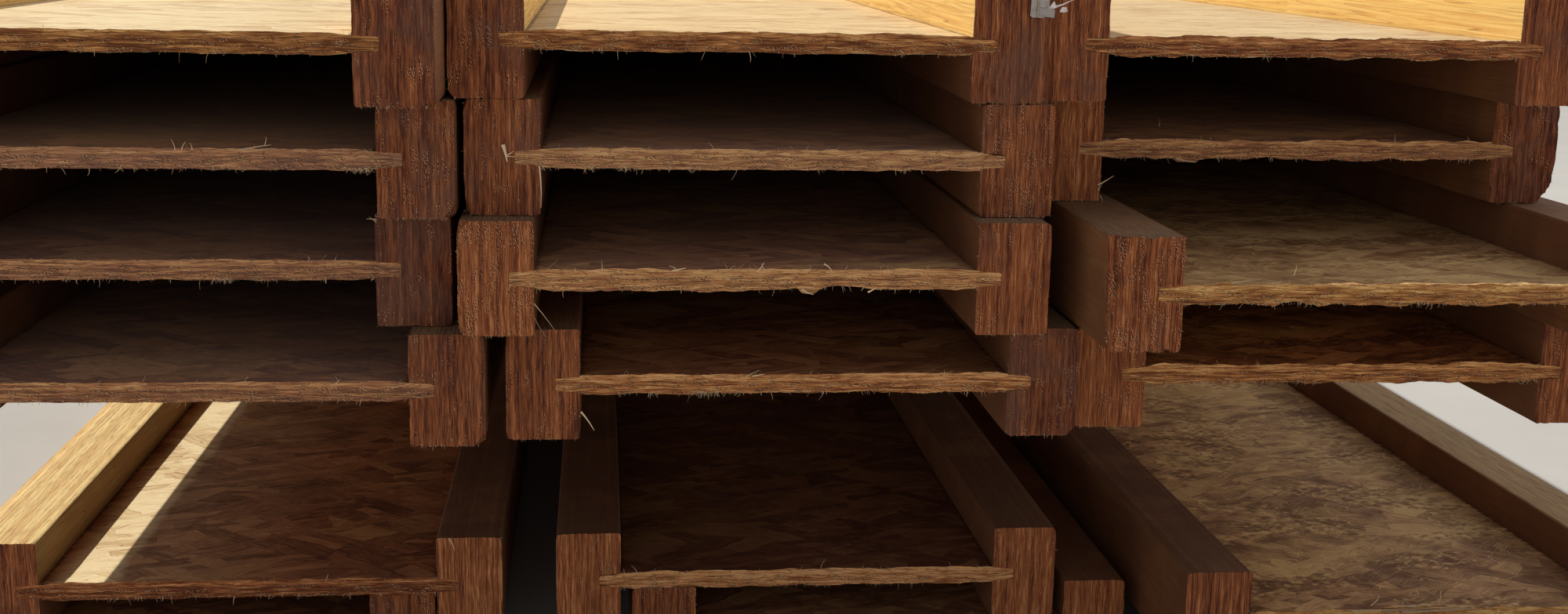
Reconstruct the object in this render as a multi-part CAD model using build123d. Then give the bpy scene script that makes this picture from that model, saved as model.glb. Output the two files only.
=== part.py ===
"""A stack of wood I-joists lying on their sides: two bundles with timber spacers between them.

Millimetres. X runs across the stack, Y along the joists with the front ends at low Y, Z is up.
The origin is at the middle of the stack's footprint, on the ground.
"""
from build123d import *
import os

os.makedirs("parts", exist_ok=True)

# Joist section, as it stands in use: the depth runs from flange to flange.
joist_depth = 301.6
joist_length = 3658.0
flange_thickness = 38.1
flange_width = 58.7
flange_outer_edge_radius = 6.0
flange_inner_edge_radius = 2.0
web_thickness = 9.5

# Joint between web and flange: the web's edge is bevelled on both sides into a tongue, which is
# glued into a groove of the same taper. The bevel starts short of the flange.
groove_depth = 12.7
web_bevel_length = 22.0
web_tip_thickness = 6.2
web_tip_radius = 1.2
glue_line = 0.1

# Timber spacers between the two bundles.
spacer_section = 88.9
spacer_edge_radius = 4.0
spacer_length = 1016.0
spacer_inset = 640.0

# Gap that rough, unpressed faces keep where one piece lies on another.
resting_gap = 0.3

# Upper bundle. Each row has the place of its left joist's left edge, then the two gaps to the
# joist on its right. The ends stand out of the stack's face by different amounts.
upper_rows = ("d", "c", "b", "a")
columns = ("left", "middle", "right")
row_start = {"a": -372.0, "b": -367.0, "c": -371.0, "d": -354.0}
row_gaps = {"a": (1.2, 0.6), "b": (3.5, 4.5), "c": (4.5, 20.0), "d": (10.0, 3.5)}
ends_stand_out = {
    "a": (67.0, 16.0, -5.0),
    "b": (27.0, 14.0, -46.0),
    "c": (6.0, 30.0, 70.0),
    "d": (24.0, 13.0, -3.0),
    "e": (2.0, -2.0, 80.0),
    "f": (-1.0, -2.0, 76.0),
}

# Lower bundle. Row f is nested into row e, each joist moved sideways by its flange's thickness
# and a side gap, to the left (-1) or to the right (+1).
lower_bundle_setback = 95.0
row_e_start = -353.0
row_e_open_gap = 31.5
nested_side = (-1, 1, 1)
nested_side_gap = (1.3, 6.8, 1.9)
nested_outer_gap = 10.4


def tongue(tip_x, clearance):
    """A tongue's outline as a face, from the start of the web's bevel to its blunt, rounded tip."""
    side = 1 if tip_x > 0 else -1
    bevel_start = tip_x - side * web_bevel_length
    tip = tip_x + side * clearance
    half_web = web_thickness / 2 + clearance
    half_tip = web_tip_thickness / 2 + clearance
    outline = Polyline((bevel_start, -half_web), (tip, -half_tip), (tip, half_tip), (bevel_start, half_web), close=True)
    face = make_face(outline)
    tip_corners = [v for v in face.vertices() if abs(v.X - tip) < 0.001]
    return fillet(tip_corners, web_tip_radius)


def web_section():
    """The web with its two tongues, centred on the joist's mid-depth."""
    tip_x = joist_depth / 2 - flange_thickness + groove_depth
    panel = Rectangle(2 * (tip_x - web_bevel_length), web_thickness)
    return panel + tongue(-tip_x, 0) + tongue(tip_x, 0)


def flange_section():
    """The right-hand flange, with the groove in its inner face."""
    inner_face = joist_depth / 2 - flange_thickness
    outer_face = joist_depth / 2
    block = Pos((inner_face + outer_face) / 2, 0) * Rectangle(flange_thickness, flange_width)
    outer_corners = [v for v in block.vertices() if abs(v.X - outer_face) < 0.001]
    block = fillet(outer_corners, flange_outer_edge_radius)
    inner_corners = [v for v in block.vertices() if abs(v.X - inner_face) < 0.001]
    block = fillet(inner_corners, flange_inner_edge_radius)
    return block - tongue(inner_face + groove_depth, glue_line)


def along_the_joist(section, length):
    """Extrude a section drawn across the stack, from Y = 0 towards the back."""
    return extrude(Plane.XZ * section, amount=-length)


def joist_pieces():
    """The three pieces of one joist, centred across, with the front end at Y = 0."""
    right = along_the_joist(flange_section(), joist_length)
    return {
        "web": along_the_joist(web_section(), joist_length),
        "flange_left": mirror(right, about=Plane.YZ),
        "flange_right": right,
    }


def row_places(start, gaps):
    """Left edges of the three joists in a row."""
    middle = start + joist_depth + gaps[0]
    return (start, middle, middle + joist_depth + gaps[1])


def stack_places():
    """Joist name to the place of its left edge, front end and mid-height."""
    places = {}
    height_f = flange_width / 2
    height_e = height_f + flange_width / 2 + web_thickness / 2 + resting_gap
    gap_for_nested_flange = flange_thickness + nested_side_gap[1] + nested_outer_gap
    row_e = row_places(row_e_start, (row_e_open_gap, gap_for_nested_flange))
    for index, column in enumerate(columns):
        shift = nested_side[index] * (flange_thickness + nested_side_gap[index])
        front_e = lower_bundle_setback - ends_stand_out["e"][index]
        front_f = lower_bundle_setback - ends_stand_out["f"][index]
        places["e", column] = (row_e[index], front_e, height_e)
        places["f", column] = (row_e[index] + shift, front_f, height_f)

    upper_base = height_e + flange_width / 2 + spacer_section + 2 * resting_gap
    for level, row in enumerate(upper_rows):
        height = upper_base + flange_width / 2 + level * (flange_width + resting_gap)
        for index, left_edge in enumerate(row_places(row_start[row], row_gaps[row])):
            places[row, columns[index]] = (left_edge, -ends_stand_out[row][index], height)
    return places


def spacer():
    """One square timber with eased edges, centred across and along, standing on Z = 0."""
    section = Pos(0, spacer_section / 2) * RectangleRounded(spacer_section, spacer_section, spacer_edge_radius)
    return Pos(-spacer_length / 2, 0, 0) * extrude(Plane.YZ * section, amount=spacer_length)


places = stack_places()
left_end = min(x for x, y, z in places.values())
right_end = max(x for x, y, z in places.values()) + joist_depth
front_end = min(y for x, y, z in places.values())
back_end = max(y for x, y, z in places.values()) + joist_length
middle_x = (left_end + right_end) / 2
middle_y = (front_end + back_end) / 2

pieces = joist_pieces()
for (row, column), (left_edge, front, height) in places.items():
    place = Pos(left_edge + joist_depth / 2 - middle_x, front - middle_y, height)
    for piece_name, solid in pieces.items():
        export_step(place * solid, f"parts/joist_{row}_{column}_{piece_name}.step")

# The spacers lie across row e's flanges, along the stretch that both bundles share.
row_e_height = places["e", "left"][2]
spacer_base = row_e_height + flange_width / 2 + resting_gap
spacer_x = (places["e", "left"][0] + places["e", "right"][0] + joist_depth) / 2 - middle_x
shared_front = lower_bundle_setback - middle_y
shared_back = joist_length - middle_y
spacer_rows = {
    "front": shared_front + spacer_inset,
    "middle": (shared_front + shared_back) / 2,
    "back": shared_back - spacer_inset,
}
timber = spacer()
for name, y in spacer_rows.items():
    export_step(Pos(spacer_x, y, spacer_base) * timber, f"parts/spacer_{name}.step")
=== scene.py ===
"""Looks of a stack of wood I-joists: two bundles lying on their sides, with timber spacers between them.

Every size is in metres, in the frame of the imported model: X runs across the stack, Y along the
joists with the front ends at low Y, and Z is up.
"""

import math
from contextlib import contextmanager
from functools import partialmethod

import bmesh
import bpy
import numpy as np
from bpy.props import FloatProperty, FloatVectorProperty, IntProperty, PointerProperty
from mathutils import Matrix, Vector


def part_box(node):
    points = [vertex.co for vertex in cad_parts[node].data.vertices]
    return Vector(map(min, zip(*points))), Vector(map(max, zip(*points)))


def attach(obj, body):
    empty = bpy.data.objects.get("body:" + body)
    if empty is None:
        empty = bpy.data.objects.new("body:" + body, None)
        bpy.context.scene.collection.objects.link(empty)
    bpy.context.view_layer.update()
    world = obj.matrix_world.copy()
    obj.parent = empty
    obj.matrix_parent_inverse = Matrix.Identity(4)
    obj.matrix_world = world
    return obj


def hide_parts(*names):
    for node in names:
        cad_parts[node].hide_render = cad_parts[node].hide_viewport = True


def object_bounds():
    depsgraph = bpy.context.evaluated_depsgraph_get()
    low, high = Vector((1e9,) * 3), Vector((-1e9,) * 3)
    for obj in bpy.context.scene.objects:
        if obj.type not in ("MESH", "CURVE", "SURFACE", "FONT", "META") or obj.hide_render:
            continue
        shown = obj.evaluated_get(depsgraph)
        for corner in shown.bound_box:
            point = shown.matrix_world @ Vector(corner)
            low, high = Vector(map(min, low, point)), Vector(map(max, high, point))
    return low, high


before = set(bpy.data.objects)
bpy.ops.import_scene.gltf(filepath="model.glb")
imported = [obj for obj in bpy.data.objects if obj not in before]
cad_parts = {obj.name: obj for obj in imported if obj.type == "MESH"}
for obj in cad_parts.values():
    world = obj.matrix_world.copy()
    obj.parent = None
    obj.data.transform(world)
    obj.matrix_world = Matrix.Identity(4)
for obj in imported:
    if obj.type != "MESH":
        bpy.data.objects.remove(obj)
cad_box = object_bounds()

bl_info = {
    "name": "Joist stack finish",
    "version": (1, 0, 0),
    "blender": (4, 5, 0),
    "location": "3D View > Sidebar > Joists",
    "description": "Sawn ends, veneer, strand board, loose fibres and a studio for a stack of wood I-joists",
    "category": "Object",
}

MM = 0.001
UPPER_ROWS = ("a", "b", "c", "d")
LOWER_ROWS = ("e", "f")
ROWS = UPPER_ROWS + LOWER_ROWS
COLUMNS = ("left", "middle", "right")
JOISTS = tuple((row, column) for row in ROWS for column in COLUMNS)
SPACERS = ("spacer_front", "spacer_middle", "spacer_back")


def number(name, default, description, **more):
    """A plain number setting."""
    return FloatProperty(name=name, description=description, default=default, **more)


def length(name, millimetres, description):
    """A length setting, written here in millimetres and kept in metres."""
    return number(name, millimetres * MM, description, min=0.0, precision=5, unit="LENGTH")


def linear(red, green, blue):
    """Scene-linear colour from a display colour of 0 to 255."""
    shares = [channel / 255 for channel in (red, green, blue)]
    return tuple(s / 12.92 if s <= 0.04045 else ((s + 0.055) / 1.055) ** 2.4 for s in shares)


def colour(name, display, description):
    """A colour setting, written here as a display colour of 0 to 255."""
    return FloatVectorProperty(
        name=name, description=description, default=linear(*display), min=0.0, max=1.0, subtype="COLOR"
    )


class JOISTS_PG_flange(bpy.types.PropertyGroup):
    """Laminated veneer flanges."""
    ply: length("Ply", 3.175, "Thickness of one veneer ply")
    end_cell: length("End mesh", 1.07, "Size of the mesh's cells on a front end")
    back_cell: length("Back mesh", 3.2, "Size of the mesh's cells on a back end")
    end_relief: length("End relief", 0.9, "How far the saw pulled the plies' ends back at most")
    rim_relief: length("Rim relief", 0.8, "How far the plies' long edges are worn back at a front end")
    end_dark: colour("End, dark", (84, 40, 27), "Torn and dirty end grain")
    end_mid: colour("End, middle", (141, 79, 45), "Sawn end grain")
    end_warm: colour("End, warm", (176, 104, 60), "Ridges of hard end grain")
    end_light: colour("End, light", (224, 150, 94), "Clean, hard end grain")
    end_film: colour("End, film", (112, 77, 62), "Dust and weathering on an old end")
    glue: colour("Glue line", (64, 28, 18), "Resin between the plies")
    edge_light: colour("Ply edge, light", (248, 220, 152), "Ply edges along the flange")
    edge_dark: colour("Ply edge, dark", (206, 156, 94), "Dark ply edges along the flange")
    face_light: colour("Face, light", (246, 210, 128), "Outer veneer, early wood")
    face_dark: colour("Face, dark", (216, 162, 84), "Outer veneer, late wood")
    # Painted shade: the darker colour that the flanges' edges and sides take where they lie in shade, with
    # their dirt laid on it.
    worn: colour("Worn", (122, 66, 44), "Faces that were kept from the sun")
    weathered: colour("Weathered", (150, 122, 90), "Upper faces that stand out in the weather")


class JOISTS_PG_web(bpy.types.PropertyGroup):
    """Strand board webs."""
    end_cell: length("End mesh", 1.0, "Size of the mesh's cells on a front end")
    back_cell: length("Back mesh", 4.8, "Size of the mesh's cells on a back end")
    end_relief: length("End relief", 1.3, "How far the saw pulled the strands' ends back at most")
    rim_relief: length("Rim relief", 1.8, "Height of the ragged waves along the web's sawn rims")
    swelling: number("Swelling", 0.09, "Share by which the web's front end is thicker")
    strand_length: length("Strand length", 58.0, "Length of a strand")
    strand_width: length("Strand width", 13.0, "Width of a strand")
    variety: number("Variety", 0.32, "How much the strands' shades differ")
    face_light: colour("Face, light", (220, 178, 126), "Pale strands")
    face_mid: colour("Face, middle", (170, 122, 84), "Most strands")
    face_dark: colour("Face, dark", (104, 66, 46), "Dark strands and bark")
    gold: colour("Golden tint", (255, 244, 212), "What multiplies the strands' colours on a golden web")
    red: colour("Red tint", (255, 228, 212), "What multiplies the strands' colours on a reddish web")
    # Painted shade: the greyer colour that the webs' faces take in the stack's hollows, more so further back.
    dull: colour("Dull", (152, 138, 134), "Dust on the webs' faces in the stack's hollows")
    # Painted shade: the dark colour of the webs' faces deep in the stack.
    painted_deep_shade: colour("Deep", (66, 36, 30), "Webs' faces deep in the stack")
    old: colour("Greyed", (186, 170, 142), "Webs' faces that the weather has greyed")
    # Painted sunlight: a paler copy of the strands' colours, for faces where the light falls.
    sunlit_light: colour("Bleached, light", (246, 228, 184), "Pale strands in the sun")
    sunlit_mid: colour("Bleached, middle", (226, 200, 152), "Most strands in the sun")
    sunlit_dark: colour("Bleached, dark", (172, 132, 86), "Dark strands in the sun")
    end_light: colour("End, light", (240, 196, 140), "Strands seen on a sawn end")
    end_warm: colour("End, warm", (202, 148, 96), "Clean strands on a sawn end")
    end_mid: colour("End, middle", (168, 114, 72), "Most of a sawn end")
    end_dark: colour("End, dark", (112, 66, 40), "Gaps between strands on a sawn end")


class JOISTS_PG_spacer(bpy.types.PropertyGroup):
    """Timber spacers."""
    ring: length("Growth ring", 4.0, "Distance between growth rings")
    light: colour("Light", (214, 170, 116), "Early wood")
    dark: colour("Dark", (160, 108, 62), "Late wood")


class JOISTS_PG_fibre(bpy.types.PropertyGroup):
    """Torn fibres along the sawn ends."""
    per_web: IntProperty(name="Fibres a web", description="Fibres along a front end", default=260, min=0)
    per_flange: IntProperty(name="Fibres a flange", description="Fibres on a front end", default=90, min=0)
    length_middle: length("Length", 1.5, "Usual length of a fibre")
    length_most: length("Longest", 9.0, "Longest fibre")
    thickness: length("Thickness", 0.26, "Usual thickness of a fibre at its root")
    light: colour("Light", (244, 212, 166), "Clean fibres")
    dark: colour("Dark", (126, 78, 48), "Dirty fibres")


class JOISTS_PG_tag(bpy.types.PropertyGroup):
    """What is left of a torn, blank tag."""
    thickness: length("Thickness", 0.25, "Thickness of the sheet")
    crumple: length("Crumple", 1.2, "Depth of the creases")
    sheet: colour("Sheet", (170, 158, 150), "Weathered sheet")
    torn: colour("Torn", (248, 234, 226), "Clean, torn edge")
    wire: colour("Staple", (176, 166, 140), "Staple")


class JOISTS_PG_stage(bpy.types.PropertyGroup):
    """Floor, lamps and camera."""
    floor_size: length("Floor size", 30000.0, "Side of the square floor")
    floor: colour("Floor", (190, 186, 178), "Pale floor")
    sky: colour("Background", (226, 224, 220), "What shows past the floor's edge")
    key_strength: number("Key", 3.4, "Strength of the key light")
    fill_power: number("Fill", 11.0, "Power of the lamp in front", unit="POWER")
    ambient: number("Ambient", 0.36, "Strength of the light from all round")
    side_power: number("Side", 26.0, "Power of the lamp at the right", unit="POWER")
    lens: number("Lens", 41.33, "Focal length of the camera in millimetres")


def new_object(name, data):
    """A new object in the scene."""
    made = bpy.data.objects.new(name, data)
    bpy.context.scene.collection.objects.link(made)
    return made


def added(operator, **settings):
    """What an operator adds to the scene, with nothing else selected before it."""
    bpy.ops.object.select_all(action="DESELECT")
    operator(**settings)
    return bpy.context.active_object


def only(piece):
    """Select one object and nothing else, and make it the active one."""
    bpy.ops.object.select_all(action="DESELECT")
    piece.select_set(True)
    bpy.context.view_layer.objects.active = piece


@contextmanager
def editing(piece):
    """Edit mode on one object, with all of its mesh selected."""
    only(piece)
    bpy.ops.object.mode_set(mode="EDIT")
    bpy.ops.mesh.select_all(action="SELECT")
    yield
    bpy.ops.object.mode_set(mode="OBJECT")


def select_faces(piece, wanted):
    """In edit mode, select the faces that a test on the face accepts."""
    bpy.ops.mesh.select_mode(type="FACE")
    mesh = bmesh.from_edit_mesh(piece.data)
    for face in mesh.faces:
        face.select_set(bool(wanted(face)) and not face.hide)
    mesh.select_flush_mode()
    bmesh.update_edit_mesh(piece.data)


def settle(piece):
    """Put an object's place, turn and scale into its mesh."""
    only(piece)
    bpy.ops.object.transform_apply(location=True, rotation=True, scale=True)


def cut(axis, places):
    """In edit mode, cut the shown part of the mesh by planes at right angles to an axis."""
    for place in places:
        bpy.ops.mesh.select_all(action="SELECT")
        bpy.ops.mesh.bisect(plane_co=axis * place, plane_no=axis, threshold=1e-6)


def divisions(low, high, cell):
    """Evenly spaced places between two ends, about one cell apart, without the ends."""
    count = max(1, round((high - low) / cell))
    return [low + (high - low) * index / count for index in range(1, count)]


ACROSS = Vector((1, 0, 0))
ALONG = Vector((0, 1, 0))
UP = Vector((0, 0, 1))
OUTER_RADIUS = 6 * MM
FRONT_BLOCK = 30 * MM
BACK_BLOCK = 20 * MM
FRONT_STEPS = (0.6 * MM, 1.6 * MM, 3.2 * MM, 6 * MM, 12 * MM)
BACK_STEPS = (3 * MM, 8 * MM)
SMOOTH_ANGLE = math.radians(35)
SCRAP_ANGLE = math.radians(40)
FIBRE_ANGLE = math.radians(50)
# Points nearer than this are one point, and points nearer than this to an end lie on it.
MERGED = 0.001 * MM
ON_END = 0.01 * MM
# Where the groove for the web opens on a master flange, whose middle is at the origin.
GROOVE_HALF_HEIGHT = 5.2 * MM
GROOVE_SIDE = -6.0 * MM
# How far back from a web's front end its bites reach.
BITE_DEPTH = 8 * MM


def workable_copy(node, name):
    """A free copy of a CAD node, merged into whole faces, with its front end's middle at the origin."""
    low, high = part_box(node)
    piece = new_object(name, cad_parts[node].data.copy())
    piece.data.materials.clear()
    piece.location = (-(low.x + high.x) / 2, -low.y, -(low.z + high.z) / 2)
    settle(piece)
    with editing(piece):
        bpy.ops.mesh.remove_doubles(threshold=MERGED)
        bpy.ops.mesh.customdata_custom_splitnormals_clear()
        bpy.ops.mesh.dissolve_limited(angle_limit=math.radians(0.5))
    return piece


def divide_ends(piece, front_cell, back_cell):
    """Cut both ends into a fine mesh, and leave the long stretch between them in plain strips."""
    corners = np.array([vertex.co for vertex in piece.data.vertices])
    low = corners.min(0)
    high = corners.max(0)
    back = high[1]
    ends = (
        (FRONT_BLOCK, front_cell, FRONT_STEPS, lambda y: y < FRONT_BLOCK),
        (back - BACK_BLOCK, back_cell, [back - step for step in BACK_STEPS], lambda y: y > back - BACK_BLOCK),
    )
    with editing(piece):
        cut(ALONG, [FRONT_BLOCK, back - BACK_BLOCK])
        for _, cell, steps, inside in ends:
            select_faces(piece, lambda face: inside(face.calc_center_median().y))
            bpy.ops.mesh.hide(unselected=True)
            cut(ALONG, steps)
            cut(UP, divisions(low[2], high[2], cell))
            cut(ACROSS, divisions(low[0], high[0], cell))
            bpy.ops.mesh.reveal(select=False)


def name_ends(piece, kept=None):
    """Vertex groups of the two sawn ends, and of the rims that fade out from them, without kept points."""
    places = np.array([vertex.co for vertex in piece.data.vertices])
    back = places[:, 1].max()
    moving = np.ones(len(places)) if kept is None else 1.0 - kept(places)
    weights = {
        "front end": (places[:, 1] < ON_END).astype(float),
        "back end": (places[:, 1] > back - ON_END).astype(float),
        "front rim": moving * np.clip(1 - places[:, 1] / FRONT_BLOCK, 0, 1) ** 2,
        "back rim": moving * np.clip(1 - (back - places[:, 1]) / BACK_BLOCK, 0, 1) ** 2,
    }
    for name, values in weights.items():
        group = piece.vertex_groups.new(name=name)
        for index in np.flatnonzero(values > 0):
            group.add([int(index)], float(values[index]), "REPLACE")


def assign_by_normal(piece):
    """Give each face the sawn end's, the top's or the side's material, by the way it looks."""
    count = len(piece.data.polygons)
    normals = np.empty(3 * count, np.float32)
    piece.data.polygons.foreach_get("normal", normals)
    normals = np.abs(normals.reshape(-1, 3))
    slots = np.where(normals[:, 1] > 0.2, 0, np.where(normals[:, 2] > 0.6, 1, 2))
    piece.data.polygons.foreach_set("material_index", slots.astype(np.int32))


def laid_copy(master, name, node, turned):
    """A copy of a master piece with its own mesh, laid where a CAD node is."""
    low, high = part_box(node)
    piece = master.copy()
    piece.data = master.data.copy()
    piece.name = name
    bpy.context.scene.collection.objects.link(piece)
    turn = Matrix.Rotation(math.pi if turned else 0.0, 4, "Y")
    piece.matrix_world = Matrix.Translation(((low.x + high.x) / 2, low.y, (low.z + high.z) / 2)) @ turn
    settle(piece)
    return piece


def relief_texture(name, depth, brightness=1.0, contrast=1.0):
    """Clouds for a relief, one bump to a unit. Bright clouds with much contrast leave only dips."""
    texture = bpy.data.textures.new(name, type="CLOUDS")
    texture.noise_scale = 1.0
    texture.noise_depth = depth
    texture.intensity = brightness
    texture.contrast = contrast
    return texture


def stretch(name, size):
    """An empty whose scale is the size of a relief's bumps across, along and up."""
    empty = added(bpy.ops.object.empty_add, type="PLAIN_AXES", location=(0, 0, 0))
    empty.name = name
    empty.scale = size
    return empty


def displace(piece, group, texture, size, strength, direction, middle):
    """Move a group of points, or all where it has no name, along a direction by a texture."""
    modifier = piece.modifiers.new("relief", "DISPLACE")
    modifier.texture = texture
    modifier.texture_coords = "OBJECT"
    modifier.texture_coords_object = size
    modifier.vertex_group = group
    modifier.direction = direction
    modifier.strength = strength
    modifier.mid_level = middle
    bpy.ops.object.modifier_apply(modifier=modifier.name)


def points_of(piece):
    """The points of a piece's mesh as an array."""
    points = np.empty(3 * len(piece.data.vertices), np.float32)
    piece.data.vertices.foreach_get("co", points)
    return points.reshape(-1, 3)


def move_points(piece, points):
    """Put an array of points back into a piece's mesh."""
    piece.data.vertices.foreach_set("co", np.ascontiguousarray(points, np.float32).ravel())
    piece.data.update()


def square_corners(piece, box, side, share):
    """Bring a flange's rounded outer edges nearer to square, by a share from 0 to 1."""
    low, high = box
    points = points_of(piece)
    middle_x = (high.x if side > 0 else low.x) - side * OUTER_RADIUS
    for end in (-1, 1):
        middle_z = (high.z if end > 0 else low.z) - end * OUTER_RADIUS
        across = (points[:, 0] - middle_x) * side
        up = (points[:, 2] - middle_z) * end
        inside = (across > 0) & (up > 0)
        longer = np.maximum(np.maximum(across, up), MERGED)
        factor = 1 + share * (np.hypot(across, up) / longer - 1)
        points[inside, 0] = middle_x + side * (across * factor)[inside]
        points[inside, 2] = middle_z + end * (up * factor)[inside]
    move_points(piece, points)


def swell_rims(piece, box, share):
    """Thicken the front end of a web, where its torn edges have taken up water."""
    low, high = box
    points = points_of(piece)
    near = np.clip(1 - (points[:, 1] - low.y) / FRONT_BLOCK, 0, 1) ** 2
    middle = (low.z + high.z) / 2
    points[:, 2] = middle + (points[:, 2] - middle) * (1 + share * near)
    move_points(piece, points)


def bite_rims(piece, box, joist):
    """Move stretches of a web's front rims up or down, most at their middle."""
    low, high = box
    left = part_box(f"joist_{joist}_flange_left")[0].x
    points = points_of(piece)
    near = np.clip(1 - (points[:, 1] - low.y) / BITE_DEPTH, 0, 1)
    for name, start, end, rim, rise in BITES:
        if name == joist:
            share = (points[:, 0] - left - start * MM) / ((end - start) * MM)
            bump = np.clip(6 * share * (1 - share), 0, 1)
            height = np.clip((points[:, 2] - low.z) / (high.z - low.z), 0, 1)
            points[:, 2] += rise * MM * near * bump * (height if rim > 0 else 1 - height)
    move_points(piece, points)


def keep_inside(piece, box, axes):
    """Hold a piece's points inside its node's box, along some axes."""
    low, high = box
    points = points_of(piece)
    for axis in axes:
        points[:, axis] = np.clip(points[:, axis], low[axis], high[axis])
    move_points(piece, points)


def chop_corner(piece, box, side, end_side, size):
    """Break a corner off a front end: a slanting cut, by a width, a height and a length."""
    low, high = box
    width, height, depth = (value * MM for value in size)
    corner = Vector((high.x if side > 0 else low.x, low.y, high.z if end_side > 0 else low.z))
    on_width = corner - ACROSS * side * width
    on_height = corner - UP * end_side * height
    on_length = corner + ALONG * depth
    normal = (on_width - on_length).cross(on_height - on_length).normalized()
    if normal.dot(corner - on_length) < 0:
        normal = -normal
    with editing(piece):
        bpy.ops.mesh.bisect(
            plane_co=on_length, plane_no=normal, clear_outer=True, use_fill=True, threshold=1e-6
        )


def give_numbers(piece, numbers):
    """Keep numbers by name on a piece's mesh for its materials, each one for all or one for each point."""
    for name, value in numbers.items():
        attribute = piece.data.attributes.new(name, "FLOAT", "POINT")
        values = np.broadcast_to(np.asarray(value, np.float32), len(piece.data.vertices))
        attribute.data.foreach_set("value", np.ascontiguousarray(values))


def layers_of(piece, box):
    """How high each point lies in a web, from 0 at its lower face to 1 at its upper face."""
    low, high = box
    return np.clip((points_of(piece)[:, 2] - low.z) / (high.z - low.z), 0, 1)


# The pattern moves up by the shift from each stretch of a joist's length to the next, in millimetres.
STRETCH = 1500.0
STRETCH_SHIFT = 71.3


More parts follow.
